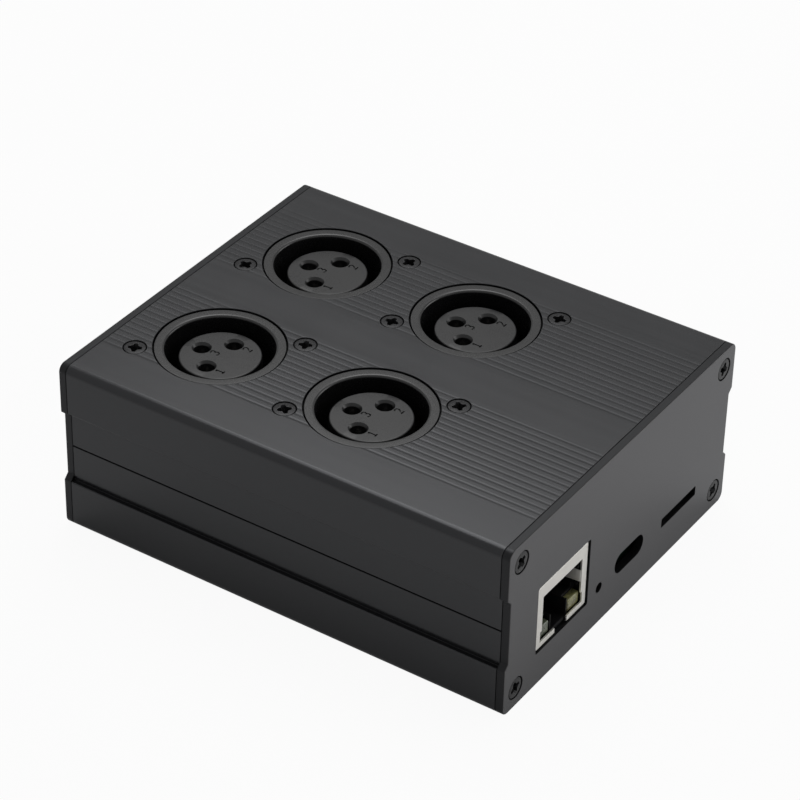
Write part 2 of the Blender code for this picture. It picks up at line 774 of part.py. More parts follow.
def housing_mesh():
    """Socket housing centred on the axis: barrel, ring, rear-mounted flange with its two screw bosses."""
    flange = rounded_rectangle(FLANGE_LENGTH, FLANGE_WIDTH, FLANGE_CORNER, CORNER_FACETS)
    mesh = turned(ring_profile(), RING_FACETS)
    mesh = join(mesh, prism(flange, FLANGE_TOP - FLANGE_THICKNESS, FLANGE_TOP))
    boss_low = FLANGE_TOP - FLANGE_THICKNESS - FLANGE_BOSS_HEIGHT
    boss_high = FLANGE_TOP - FLANGE_THICKNESS / 2
    pilot = FLANGE_SCREW_SHANK + 2 * FIT
    holes = []
    for place in flange_screw_places((0, 0)):
        mesh = join(mesh, rod(FLANGE_BOSS, boss_low, boss_high, SMALL_FACETS, place))
        holes.append(rod(pilot, boss_low - CUT_PAST, FLANGE_TOP + CUT_PAST, PIN_FACETS, place))
    floor = HOUSING_BOTTOM + HOUSING_FLOOR
    for place in contact_places():
        holes.append(rod(TAIL_HOLE, HOUSING_BOTTOM - CUT_PAST, floor + CUT_PAST, TAIL_HOLE_FACETS, place))
    return smooth(cut(mesh, turned(bore_profile(), RING_FACETS), together(holes)))


def insert_mesh():
    """Contact insert centred on the axis, with a lead-in and a cell for each contact."""
    radius = INSERT_DIAMETER / 2
    profile = [
        (0, INSERT_BOTTOM),
        (radius, INSERT_BOTTOM),
        (radius, INSERT_TOP - INSERT_CHAMFER),
        (radius - INSERT_CHAMFER, INSERT_TOP),
        (0, INSERT_TOP),
    ]
    cell_top = INSERT_TOP - CONTACT_HOLE_DEPTH
    cell = [
        (0, INSERT_BOTTOM - CUT_PAST),
        (CONTACT_CELL / 2, INSERT_BOTTOM - CUT_PAST),
        (CONTACT_CELL / 2, cell_top),
        (CONTACT_HOLE / 2, cell_top),
        (CONTACT_HOLE / 2, INSERT_TOP - CONTACT_MOUTH_DEPTH),
        (CONTACT_MOUTH / 2, INSERT_TOP),
        (CONTACT_MOUTH / 2, INSERT_TOP + CUT_PAST),
        (0, INSERT_TOP + CUT_PAST),
    ]
    tools = [turned(cell, SMALL_FACETS, (x, y, 0)) for x, y in contact_places()]
    return smooth(cut(turned(profile, INSERT_FACETS), together(tools)))


def contact_mesh():
    """Socket contact on its axis: a tube open at the top, and a tail that passes through the board."""
    top = INSERT_TOP - CONTACT_HOLE_DEPTH - FIT
    barrel_low = INSERT_BOTTOM + FIT
    bore_low = barrel_low + CONTACT_BASE
    profile = [
        (0, SOCKET_BOARD_BOTTOM - TAIL_BELOW_BOARD),
        (CONTACT_TAIL / 2, SOCKET_BOARD_BOTTOM - TAIL_BELOW_BOARD),
        (CONTACT_TAIL / 2, barrel_low),
        (CONTACT_DIAMETER / 2, barrel_low),
        (CONTACT_DIAMETER / 2, top),
        (CONTACT_BORE / 2, top),
        (CONTACT_BORE / 2, bore_low),
        (0, bore_low),
    ]
    return smooth(turned(profile, PIN_FACETS), CONTACT_SMOOTH_ANGLE)


def xlr_sockets():
    housing, insert, contact = housing_mesh(), insert_mesh(), contact_mesh()
    screw = screw_mesh(FLANGE_SCREW_HEAD, FLANGE_SCREW_SHANK, FLANGE_SCREW_LENGTH)
    for number, place in enumerate(socket_places(), 1):
        x, y = place
        body = new_object(f"xlr_{number}_housing", housing, socket_plastic())
        body.location = (x, y, 0)
        core = new_object(f"xlr_{number}_insert", insert, insert_plastic())
        core.parent = body
        for pole, (dx, dy) in enumerate(contact_places(), 1):
            pin = new_object(f"xlr_{number}_contact_{pole}", contact, contact_metal())
            pin.parent = body
            pin.location = (dx, dy, 0)
        for letter, (sx, sy) in zip("ab", flange_screw_places(place)):
            fixing = new_object(f"xlr_{number}_screw_{letter}", screw, black_screw_steel())
            fixing.location = (sx, sy, BOX_HEIGHT - SCREW_HEAD_RECESS)
            fixing.rotation_euler = (0, 0, number * FLANGE_SCREW_TURN)


# Boards


def controller_board():
    half_width = INNER_WALL_Y - FIT
    outline = rounded_rectangle(2 * CONTROLLER_END, 2 * half_width, BOARD_CORNER, TINY_CORNER_FACETS)
    mesh = prism(outline, BOARD_BOTTOM, BOARD_TOP)
    return new_object("controller_board", mesh, board_laminate())


def socket_board():
    """Board under the sockets, that ends a little inside their flanges."""
    length = SOCKET_SPAN - 2 * SOCKET_BOARD_MARGIN
    place = (SOCKET_CENTRE_X, 0)
    outline = rounded_rectangle(length, SOCKET_BOARD_WIDTH, BOARD_CORNER, TINY_CORNER_FACETS, place)
    mesh = prism(outline, SOCKET_BOARD_BOTTOM, SOCKET_BOARD_TOP)
    holes = []
    for x, y in socket_places():
        for dx, dy in contact_places():
            span = (SOCKET_BOARD_BOTTOM - CUT_PAST, SOCKET_BOARD_TOP + CUT_PAST)
            holes.append(rod(TAIL_HOLE, *span, TAIL_HOLE_FACETS, (x + dx, y + dy)))
    return new_object("socket_board", smooth(cut(mesh, together(holes))), board_laminate())


def header_pins():
    """(x, y) of the pins that join the two boards, in two rows under the middle of the sockets."""
    return [
        (SOCKET_CENTRE_X + (column - (HEADER_COLUMNS - 1) / 2) * HEADER_PITCH, row * HEADER_PITCH / 2)
        for column in range(HEADER_COLUMNS)
        for row in (-1, 1)
    ]


def header_block(low, high):
    half_x, half_y = HEADER_COLUMNS * HEADER_PITCH / 2, HEADER_PITCH
    return block((SOCKET_CENTRE_X - half_x, -half_y, low), (SOCKET_CENTRE_X + half_x, half_y, high))


def square_bars(places, side, low, high):
    """Mesh of upright square bars of a side, one at each (x, y)."""
    half = side / 2
    return together([block((x - half, y - half, low), (x + half, y + half, high)) for x, y in places])


def header_pair():
    """Pin header on the lower board, and the socket on the upper one that its pins enter."""
    start = HEADER_BASE_TOP - CUT_PAST
    pins = square_bars(header_pins(), HEADER_PIN, start, HEADER_PIN_TOP)
    new_object("header_plug", join(header_block(SEAT, HEADER_BASE_TOP), pins), header_plastic())
    cells = square_bars(header_pins(), HEADER_PIN + 2 * FIT, start, HEADER_PIN_TOP + FIT)
    socket = cut(header_block(HEADER_SOCKET_BOTTOM, HEADER_SOCKET_TOP), cells)
    new_object("header_socket", socket, header_plastic())


def driver_mesh():
    """Eight-lead chip on z = 0: a body that tapers to both faces, with sloping leads on both sides."""
    half_x, half_y = DRIVER_LENGTH / 2, DRIVER_WIDTH / 2
    middle = DRIVER_HEIGHT / 2
    body = [
        (-half_y + DRIVER_TAPER, LEAD_THICKNESS),
        (half_y - DRIVER_TAPER, LEAD_THICKNESS),
        (half_y, middle),
        (half_y - DRIVER_TAPER, DRIVER_HEIGHT),
        (-half_y + DRIVER_TAPER, DRIVER_HEIGHT),
        (-half_y, middle),
    ]
    lead = [
        (half_y - DRIVER_TAPER, middle),
        (half_y + LEAD_REACH, 0),
        (half_y + LEAD_REACH - 2 * LEAD_THICKNESS, 0),
        (half_y - DRIVER_TAPER, middle - 2 * LEAD_THICKNESS),
    ]
    leads = []
    for column in range(DRIVER_LEADS):
        place = (column - (DRIVER_LEADS - 1) / 2) * LEAD_PITCH
        for outline in (lead, mirrored(lead)):
            leads.append(prism(outline, place - LEAD_THICKNESS, place + LEAD_THICKNESS, "X"))
    return join(prism(body, -half_x, half_x, "X"), together(leads))


def line_drivers():
    """One driver for each socket, in a row in the free strip between the sockets."""
    mesh = driver_mesh()
    count = len(socket_places())
    for column in range(count):
        chip = new_object(f"line_driver_{column + 1}", mesh, chip_epoxy())
        along = SOCKET_CENTRE_X + (column - (count - 1) / 2) * SOCKET_PITCH_X / 2
        chip.location = (along, 0, SOCKET_BOARD_TOP + FIT)


def processor():
    half = PROCESSOR_SIDE / 2
    mesh = block((PROCESSOR_X - half, -half, SEAT), (PROCESSOR_X + half, half, SEAT + PROCESSOR_HEIGHT))
    return new_object("processor", bevelled(mesh, PROCESSOR_BEVEL), chip_epoxy())


# Network jack


def jack_window():
    """(low y, high y, low z, high z) of the plug's window in the jack's front."""
    half = WINDOW_WIDTH / 2
    return JACK_Y - half, JACK_Y + half, SEAT + WINDOW_SILL, JACK_TOP - WINDOW_LINTEL


def plug_floor():
    return JACK_TOP - WINDOW_LINTEL - PLUG_HEIGHT


def lamp_bottom():
    return SEAT + LAMP_LEDGE


def lamp_span(side, margin=0.0):
    """Lowest and highest y of the lamp on one side of the latch channel, widened by a margin."""
    near = LATCH_WIDTH / 2 + SHEET + FIT
    y0, y1 = sorted((JACK_Y + side * near, JACK_Y + side * (near + LAMP_WIDTH)))
    return y0 - margin, y1 + margin


def leaf_span():
    """Lowest and highest z of the spring leaves beside the plug."""
    _, _, low, high = jack_window()
    middle = (low + high) / 2 + LEAF_RISE
    return middle - LEAF_HEIGHT / 2, middle + LEAF_HEIGHT / 2


def jack_shield():
    """Folded sheet shield: front frame, sides, top and back, and a spring leaf on each side of the window."""
    half = JACK_WIDTH / 2
    rear = JACK_FRONT - JACK_DEPTH
    middle = (JACK_Y, SEAT + JACK_HEIGHT / 2)
    outline = rounded_rectangle(JACK_WIDTH, JACK_HEIGHT, JACK_CORNER, TINY_CORNER_FACETS, middle)
    mesh = prism(outline, rear, JACK_FRONT, "X")
    hollow = block(
        (rear + SHEET, JACK_Y - half + SHEET, SEAT - CUT_PAST),
        (JACK_FRONT - SHEET, JACK_Y + half - SHEET, JACK_TOP - SHEET),
    )
    back, ahead = JACK_FRONT - CUT_PAST, JACK_FRONT + CUT_PAST
    y0, y1, z0, z1 = jack_window()
    window = block((back, y0, z0), (ahead, y1, z1))
    lamps_low, lamps_high = lamp_span(-1)[0], lamp_span(1)[1]
    lamps = block((back, lamps_low, z0), (ahead, lamps_high, lamp_bottom() + LAMP_HEIGHT))
    gap_low, gap_high = JACK_Y - SILL_GAP / 2, JACK_Y + SILL_GAP / 2
    sill = block((back, gap_low, SEAT - CUT_PAST), (ahead, gap_high, z0 + CUT_PAST / 2))
    mesh = cut(mesh, hollow, window, lamps, sill)
    front = JACK_FRONT - SHEET / 2
    for side, edge in ((-1, y0), (1, y1)):
        leaf = [
            (front, edge + side * SHEET),
            (front - LEAF_LENGTH, edge - side * (LEAF_LEAN - SHEET)),
            (front - LEAF_LENGTH, edge - side * LEAF_LEAN),
            (front, edge),
        ]
        mesh = join(mesh, prism(leaf, *leaf_span()))
    return new_object("jack_shield", smooth(mesh), shield_metal())


def jack_wires(front, top):
    """The sprung contact wires: they start under the roof of the plug's space and slope down and back."""
    start = front - WIRE_START
    end = start - WIRE_LENGTH
    side_view = [
        (start, top + WIRE_WIDTH),
        (end, top - WIRE_DROP),
        (end - WIRE_WIDTH, top - WIRE_DROP),
        (start - WIRE_LENGTH * WIRE_ROOT, top + WIRE_WIDTH),
    ]
    wires = []
    for i in range(WIRE_COUNT):
        middle = JACK_Y + (i - (WIRE_COUNT - 1) / 2) * WIRE_PITCH
        wires.append(upright_prism(side_view, middle - WIRE_WIDTH / 2, middle + WIRE_WIDTH / 2))
    return together(wires)


def jack_body():
    """Plastic body: the plug's space over the latch channel and the lamp pockets, and the contact wires."""
    half = JACK_WIDTH / 2 - SHEET - FIT
    front = JACK_FRONT - SHEET - FIT
    rear = JACK_FRONT - JACK_DEPTH + SHEET + FIT
    ahead = front + CUT_PAST
    floor = plug_floor()
    y0, y1, _, top = jack_window()
    mesh = block((rear, JACK_Y - half, SEAT), (front, JACK_Y + half, JACK_TOP - SHEET - FIT))
    plug_half = PLUG_WIDTH / 2
    plug = block((front - PLUG_DEPTH, JACK_Y - plug_half, floor), (ahead, JACK_Y + plug_half, top))
    latch = block(
        (front - LATCH_DEPTH, JACK_Y - LATCH_WIDTH / 2, lamp_bottom()),
        (ahead, JACK_Y + LATCH_WIDTH / 2, floor + CUT_PAST),
    )
    mesh = cut(mesh, plug, latch)
    lamp_low = lamp_bottom() - FIT
    leaf_low, leaf_high = leaf_span()
    for side, edge in ((-1, y0), (1, y1)):
        low, high = lamp_span(side, FIT)
        pocket = block((front - LAMP_DEPTH - FIT, low, lamp_low), (ahead, high, floor + CUT_PAST))
        low, high = sorted((edge + side * (SHEET + FIT), edge - side * (LEAF_LEAN + FIT)))
        room = block((front - LEAF_LENGTH, low, leaf_low - FIT), (ahead, high, leaf_high + FIT))
        mesh = cut(mesh, pocket, room)
    return new_object("jack_body", join(mesh, jack_wires(front, top)), jack_plastic())


def jack_lamp(name, side, finish):
    front = JACK_FRONT - SHEET - FIT
    low = lamp_bottom()
    y0, y1 = lamp_span(side)
    mesh = block((front - LAMP_DEPTH, y0, low), (front, y1, low + LAMP_HEIGHT))
    return new_object(name, bevelled(mesh, LAMP_BEVEL), finish)


# Reset switch


def reset_switch():
    """Switch body with a pocket that is open towards the plate, and the plunger that slides in it."""
    low = SEAT
    high = low + 2 * SWITCH_WALL + 2 * SWITCH_CLEARANCE + PLUNGER_HEIGHT
    front = PORT_FRONT - PLUNGER_REACH
    rear = front - SWITCH_DEPTH
    body = block((rear, RESET_Y - SWITCH_WIDTH / 2, low), (front, RESET_Y + SWITCH_WIDTH / 2, high))
    mouth = PLUNGER_WIDTH / 2 + SWITCH_CLEARANCE
    wide = mouth + PLUNGER_HEEL
    z0, z1 = low + SWITCH_WALL, high - SWITCH_WALL
    lip = front - SWITCH_WALL
    heel_high = lip - SWITCH_CLEARANCE
    heel_low = heel_high - PLUNGER_HEEL
    back = heel_low - PLUNGER_TRAVEL - SWITCH_CLEARANCE
    body = cut(
        body,
        block((back, RESET_Y - wide, z0), (lip, RESET_Y + wide, z1)),
        block((lip - SWITCH_WALL, RESET_Y - mouth, z0), (front + CUT_PAST, RESET_Y + mouth, z1)),
    )
    new_object("reset_switch", body, chip_epoxy())
    stem = PLUNGER_WIDTH / 2
    heel = stem + PLUNGER_HEEL
    outline = [
        (heel_low, -heel),
        (heel_high, -heel),
        (heel_high, -stem),
        (PORT_FRONT, -stem),
        (PORT_FRONT, stem),
        (heel_high, stem),
        (heel_high, heel),
        (heel_low, heel),
    ]
    mesh = prism(outline, -PLUNGER_HEIGHT / 2, PLUNGER_HEIGHT / 2)
    plunger = new_object("reset_plunger", mesh, plunger_plastic())
    plunger.location = (0, RESET_Y, PLUNGER_Z)


# USB-C receptacle


def usb_receptacle():
    """Drawn oval shell that is open towards the plate, and the tongue inside it on its root."""
    rear = PORT_FRONT - USB_DEPTH
    place = (USB_Y, USB_Z)
    outer = obround(USB_WIDTH, USB_HEIGHT, place)
    width, height = USB_WIDTH - 2 * USB_WALL, USB_HEIGHT - 2 * USB_WALL
    inner = obround(width, height, place)
    hollow = prism(inner, rear + USB_WALL, PORT_FRONT + CUT_PAST, "X")
    shell = cut(prism(outer, rear, PORT_FRONT, "X"), hollow)
    new_object("usb_shell", smooth(shell), shield_metal())
    root_low = rear + USB_WALL + FIT
    root_high = PORT_FRONT - USB_TONGUE_DEPTH - FIT
    root = obround(width - 2 * FIT, height - 2 * FIT, place)
    half_w, half_h = USB_TONGUE_WIDTH / 2, USB_TONGUE_HEIGHT / 2
    blade = block(
        (root_high - CUT_PAST, USB_Y - half_w, USB_Z - half_h),
        (root_high + USB_TONGUE_DEPTH, USB_Y + half_w, USB_Z + half_h),
    )
    tongue = join(prism(root, root_low, root_high, "X"), blade)
    new_object("usb_tongue", smooth(tongue), jack_plastic())


# Memory card


def card_socket():
    """Flat socket, open towards the plate, that the card slides into."""
    front = PORT_FRONT
    rear = front - CARD_SOCKET_DEPTH
    inner_half = CARD_WIDTH / 2 + FIT
    outer_half = inner_half + CARD_SOCKET_WALL + FIT
    inner_high = CARD_BOTTOM + CARD_THICKNESS + FIT
    outer_high = inner_high + CARD_SOCKET_WALL
    body = block((rear, CARD_Y - outer_half, SEAT), (front, CARD_Y + outer_half, outer_high))
    cavity = block(
        (CARD_FRONT - CARD_LENGTH - FIT, CARD_Y - inner_half, CARD_BOTTOM - FIT),
        (front + CUT_PAST, CARD_Y + inner_half, inner_high),
    )
    return new_object("card_socket", cut(body, cavity), shield_metal())


def memory_card():
    """Card with its narrower nose inwards, its outer end just inside the plate's slot."""
    half, nose = CARD_WIDTH / 2, CARD_NOSE_WIDTH / 2
    step = half - nose
    outline = [
        (-CARD_LENGTH, -half),
        (0, -half),
        (0, half),
        (-CARD_LENGTH + CARD_NOSE_LENGTH, half),
        (-CARD_LENGTH + CARD_NOSE_LENGTH - step, half - 2 * step),
        (-CARD_LENGTH, half - 2 * step),
    ]
    mesh = prism(outline, -CARD_THICKNESS / 2, CARD_THICKNESS / 2)
    card = new_object("memory_card", mesh, card_plastic())
    card.location = (CARD_FRONT, CARD_Y, CARD_Z)


def build():
    clear_scene()
    upper_shell()
    lower_shell()
    front_plate()
    rear_plate()
    plate_screws()
    xlr_sockets()
    controller_board()
    socket_board()
    header_pair()
    line_drivers()
    processor()
    jack_shield()
    jack_body()
    jack_lamp("jack_lamp_left", -1, lamp_green())
    jack_lamp("jack_lamp_right", 1, lamp_yellow())
    reset_switch()
    usb_receptacle()
    card_socket()
    memory_card()


build()
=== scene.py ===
import math

import bmesh
import bpy
from mathutils import Matrix, Vector

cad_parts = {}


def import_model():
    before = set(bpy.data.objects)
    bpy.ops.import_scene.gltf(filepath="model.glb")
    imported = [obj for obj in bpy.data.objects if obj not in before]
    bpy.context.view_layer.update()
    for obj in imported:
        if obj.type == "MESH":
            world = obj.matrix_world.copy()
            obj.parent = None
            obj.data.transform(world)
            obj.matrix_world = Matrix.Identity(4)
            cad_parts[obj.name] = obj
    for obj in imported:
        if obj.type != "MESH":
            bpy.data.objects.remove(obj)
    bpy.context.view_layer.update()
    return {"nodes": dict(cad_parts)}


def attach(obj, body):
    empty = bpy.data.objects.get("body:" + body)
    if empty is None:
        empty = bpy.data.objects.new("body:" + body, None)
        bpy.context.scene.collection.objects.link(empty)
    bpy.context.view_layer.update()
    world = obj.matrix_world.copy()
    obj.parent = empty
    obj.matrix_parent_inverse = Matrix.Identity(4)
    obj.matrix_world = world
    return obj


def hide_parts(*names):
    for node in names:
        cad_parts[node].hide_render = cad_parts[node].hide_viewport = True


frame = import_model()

MM = 0.001

# Enclosure, as in the solid model
LENGTH = 94.0 * MM
WIDTH = 76.0 * MM
HEIGHT = 35.0 * MM
MIDDLE = HEIGHT / 2
PLATE = 1.5 * MM
FIT = 0.3 * MM
CORNER = 1.6 * MM
STEP = 1.0 * MM
STEP_HALF = 7.5 * MM
WALL = 1.6 * MM
SKIN = 2.0 * MM
TONGUE_THICKNESS = 0.7 * MM
TONGUE_HEIGHT = 1.2 * MM
GROOVES = 15
GROOVE_PITCH = 1.53 * MM
GROOVE_BAND_Y = 16.65 * MM
BOARD_TOP = 7.1 * MM
RAIL_THICKNESS = 1.2 * MM
RAIL_REACH = 1.8 * MM
SEAT = 7.4 * MM

# Ports that the end plates' screws go into
PORT_Y = 34.1 * MM
PORT_Z = 4.0 * MM
PORT_BORE = 1.0 * MM
PORT_OUTSIDE = 2.7 * MM
PORT_TOP = 5.2 * MM
PORT_SLOT = 1.1 * MM
PORT_FACETS = 28
PORT_LIP_FACETS = 4
PLATE_SCREWS = [(y, z) for y in (-PORT_Y, PORT_Y) for z in (PORT_Z, HEIGHT - PORT_Z)]

# Enclosure, finer than in the solid model
STEP_ROUND = 0.22 * MM
STEP_ROUND_FACETS = 5
STEP_FOOT = 0.04 * MM
SEAM_LIP = 0.08 * MM
PLATE_SEAM = 0.15 * MM
PLATE_EDGE_ROUND = 0.22 * MM
SHELL_END = LENGTH / 2 - PLATE - PLATE_SEAM
SHELL_SHARP_ANGLE = 24
GROOVE_HALF = 0.46 * MM
GROOVE_DEPTH = 0.018 * MM
GROOVE_STEPS = 10
GROOVE_ZONE = 0.2 * MM

# Screws: the cross's span, width, depth and corners are shares of the head or of its width
SCREW_HEAD = 4.0 * MM
FLANGE_SCREW_SHANK = 2.0 * MM
FLANGE_SCREW_LENGTH = 8.0 * MM
FLANGE_SCREW_TURN = math.radians(23)
PLATE_SCREW_SHANK = 1.4 * MM
PLATE_SCREW_LENGTH = 10.0 * MM
PLATE_SCREW_TURN = math.radians(17)
SCREW_RECESS = 0.1 * MM
SCREW_RIM = 0.3 * MM
SCREW_EASE = 0.12 * MM
SINK_GAP = 0.2 * MM
SINK_EASE = 0.05 * MM
CROSS_SPAN = 0.37 * SCREW_HEAD
CROSS_WIDTH = 0.12 * SCREW_HEAD
CROSS_DEPTH = 0.5 * SCREW_HEAD
CROSS_TIP = 0.75 * CROSS_WIDTH
CROSS_INNER = 1.35 * CROSS_WIDTH
CROSS_TAPER = 0.4
CROSS_RISE = 0.5 * MM

# Sockets, with centres as (x, y)
SOCKETS = {
    1: (-27.4 * MM, -16.65 * MM),
    2: (5.2 * MM, -16.65 * MM),
    3: (-27.4 * MM, 16.65 * MM),
    4: (5.2 * MM, 16.65 * MM),
}
PANEL_HOLE = 12.1 * MM
PANEL_HOLE_EASE = 0.06 * MM
RING_TOP = 34.8 * MM
RING_OUTSIDE = 11.8 * MM
RING_BORE = 9.9 * MM
RING_MOUTH = 0.5 * MM
RING_MOUTH_FACETS = 6
RING_EASE = 0.12 * MM
HOUSING_FLOOR = 19.0 * MM
HOUSING_LOW = 17.0 * MM
FLANGE_TOP = 32.7 * MM
FLANGE_LENGTH = 31.0 * MM
FLANGE_WIDTH = 26.0 * MM
FLANGE_CORNER = 3.0 * MM
FLANGE_CORNER_FACETS = 8
FLANGE_THICKNESS = 2.0 * MM
FLANGE_OVERLAP = 0.5 * MM
FLANGE_SCREW = (12.1 * MM, 9.1 * MM)
BOSS_RADIUS = 2.8 * MM
BOSS_LOW = 27.7 * MM
BOSS_TOP = 31.5 * MM
INSERT_RADIUS = 7.5 * MM
INSERT_TOP = 32.95 * MM
INSERT_LOW = 19.3 * MM
INSERT_EDGE = 0.3 * MM

# Contact holes and contacts
CONTACT_PLACES = ((0.0, -4.15 * MM), (0.0, 4.15 * MM), (-4.15 * MM, 0.0))
LEAD_IN = 1.75 * MM
LEAD_IN_DEPTH = 0.5 * MM
LEAD_IN_EASE = 0.1 * MM
LEAD_IN_SPREAD = (-0.04 * MM, 0.06 * MM)
CONTACT_HOLE = 1.45 * MM
CONTACT_HOLE_DEPTH = 3.0 * MM
CONTACT_CELL = 2.0 * MM
CONTACT_RADIUS = 1.7 * MM
CONTACT_BORE = 1.25 * MM
CONTACT_TOP = INSERT_TOP - 3.3 * MM
CONTACT_FLOOR = 20.6 * MM
CONTACT_LOW = 19.6 * MM
CONTACT_LIP = 0.12 * MM
CONTACT_SLOT_HALF = 0.12 * MM
CONTACT_SLOT_LOW = 24.0 * MM
TAIL_RADIUS = 0.6 * MM
TAIL_LOW = 14.1 * MM
NUMBER_HEIGHT = 1.7 * MM
NUMBER_STROKE = 0.27 * MM
NUMBER_DEPTH = 0.24 * MM
NUMBER_OFFSET = 2.9 * MM

# Openings in the port plate: width, height, corner and its facets, or an obround's width, height
# and facets, with centres as (y, z)
JACK_Y = -19.5 * MM
JACK_HEIGHT = 13.5 * MM
JACK_TOP = SEAT + JACK_HEIGHT
JACK_CENTRE = (JACK_Y, SEAT + JACK_HEIGHT / 2)
JACK_OPENING = (17.0 * MM, 14.3 * MM, 0.45 * MM, 5)
USB_CENTRE = (3.1 * MM, 9.0 * MM)
USB_OPENING = (9.9 * MM, 4.2 * MM, 16)
CARD_CENTRE = (20.7 * MM, 8.5 * MM)
CARD_OPENING = (12.3 * MM, 2.0 * MM, 0.25 * MM, 4)
PINHOLE = 1.0 * MM
PINHOLE_CENTRE = (-7.2 * MM, 8.15 * MM)

# Network jack's shield, window and lamps, and the path of its side leaves in mm: how far behind
# the front, and how far in from the window's side
JACK_HALF = 8.1 * MM
JACK_FRONT = 46.75 * MM
JACK_REAR = JACK_FRONT - 21.3 * MM
JACK_CORNER = 0.45 * MM
JACK_CORNER_FACETS = 6
JACK_FRONT_ROUND = 0.14 * MM
JACK_SHEET_EASE = 0.05 * MM
SHEET = 0.3 * MM
WINDOW_HALF = 6.35 * MM
WINDOW_LOW = SEAT + 1.1 * MM
WINDOW_TOP = JACK_TOP - 2.7 * MM
WINDOW_MIDDLE = (WINDOW_LOW + WINDOW_TOP) / 2
WINDOW_CORNER = 0.15 * MM
NOTCH_HALF = 6.85 * MM
SILL_GAP_HALF = 2.0 * MM
LAMP_LOW = SEAT + 0.9 * MM
LAMP_TOP = LAMP_LOW + 2.5 * MM
LAMP_SIDES = (3.1 * MM, 6.8 * MM)
LAMP_DEPTH = 6.0 * MM
LAMP_ROUND = 0.3 * MM
LEAF_LOW = WINDOW_MIDDLE - 0.15 * MM
LEAF_TOP = LEAF_LOW + 2.4 * MM
LEAF_SHEET = 0.16 * MM
LEAF_PATH = ((0.05, -0.12), (0.35, 0.05), (1.8, 0.15), (5.6, 0.5), (7.0, 0.35))

# Network jack's plastic body, with rooms for the plug (depth, half width and height), its latch
# (depth and half width) and the leaves (depth, and how far in and out from the window's side),
# and the path of its wires in mm: how far behind the body's front, and how far above the window
CORE_FRONT = JACK_FRONT - SHEET - FIT
CORE_EASE = 0.06 * MM
PLUG_ROOM = (14.0 * MM, 5.9 * MM, 6.6 * MM)
LATCH_ROOM = (10.0 * MM, 2.5 * MM)
LAMP_HEADROOM = 0.1 * MM
LAMP_ROOF_BACK = 1.2 * MM
LEAF_ROOM = (7.0 * MM, 0.8 * MM, 0.6 * MM)
WIRES = 8
WIRE_PITCH = 1.02 * MM
WIRE_THICKNESS = 0.3 * MM
WIRE_HALF = 0.17 * MM
WIRE_PATH = ((1.3, 0.25), (2.0, -0.05), (8.4, -2.1))

# USB receptacle, with the blade of its tongue and the pads on it
USB_SIZE = (8.9 * MM, 3.2 * MM)
USB_DEPTH = 7.4 * MM
USB_WALL = 0.3 * MM
USB_LIP = 0.1 * MM
USB_LIP_FACETS = 2
USB_FACETS = 14
USB_FRONT = LENGTH / 2 - PLATE - FIT
USB_REAR = USB_FRONT - USB_DEPTH
BLADE_ROOT = 2.5 * MM
BLADE_ROOT_FACETS = 10
BLADE_BACK = 1.5 * MM
BLADE_HALF = 3.35 * MM
BLADE_HALF_THICKNESS = 0.35 * MM
BLADE_EASE = 0.08 * MM
PADS = 12
PAD_PITCH = 0.5 * MM
PAD_HALF = 0.12 * MM
PAD_PROUD = 0.01 * MM
PAD_ENDS = (4.0 * MM, 0.4 * MM)

# Facets of arcs, and of turned forms from large to small
CORNER_FACETS = 14
EASE_FACETS = 3
EDGE_FACETS = 4
RING_FACETS = 128
SCREW_FACETS = 64
BORE_FACETS = 56
SINK_FACETS = 48
CONTACT_FACETS = 40
BOSS_FACETS = 32

# How far a cutting tool reaches past what it cuts, and what keeps a round end's corners apart
PAST = 1.0 * MM
HAIR = 0.001 * MM

# Vertices nearer than this become one, and edges that turn more than this are softened
MERGED_WITHIN = 1e-7
SOFTENED_ANGLE = 50


# Mesh helpers


def mesh_from(shape, name):
    bmesh.ops.remove_doubles(shape, verts=shape.verts, dist=MERGED_WITHIN)
    bmesh.ops.recalc_face_normals(shape, faces=shape.faces)
    mesh = bpy.data.meshes.new(name)
    shape.to_mesh(mesh)
    shape.free()
    return mesh


def prism(outline, low, high, along="Z"):
    """Mesh of an outline pushed from low to high: (x, y) points along Z, or (y, z) along X."""
    shape = bmesh.new()
    if along == "Z":
        base = [shape.verts.new((a, b, low)) for a, b in outline]
        push = Vector((0, 0, high - low))
    else:
        base = [shape.verts.new((low, a, b)) for a, b in outline]
        push = Vector((high - low, 0, 0))
    face = shape.faces.new(base)
    pushed = bmesh.ops.extrude_face_region(shape, geom=[face])
    far = [item for item in pushed["geom"] if isinstance(item, bmesh.types.BMVert)]
    bmesh.ops.translate(shape, verts=far, vec=push)
    return mesh_from(shape, "prism")


def rounded_prism(outline, low, high, radius, steps):
    """Mesh of a (y, z) outline pushed along X, with its high face's edge rounded."""
    shape = bmesh.new()
    shape.from_mesh(prism(outline, low, high - radius, "X"))
    shape.faces.ensure_lookup_table()
    face = max(shape.faces, key=lambda item: item.calc_center_median().x)
    for i in range(steps):
        near, far = (math.radians(90 * k / steps) for k in (i, i + 1))
        inset = radius * (math.cos(near) - math.cos(far))
        rise = radius * (math.sin(far) - math.sin(near))
        bmesh.ops.inset_region(
            shape, faces=[face], thickness=inset, depth=rise, use_even_offset=True
        )
    return mesh_from(shape, "rounded_prism")


def block(low, high):
    """Mesh of a box between two opposite corners."""
    (x0, y0, z0), (x1, y1, z1) = low, high
    return prism([(x0, y0), (x1, y0), (x1, y1), (x0, y1)], z0, z1)


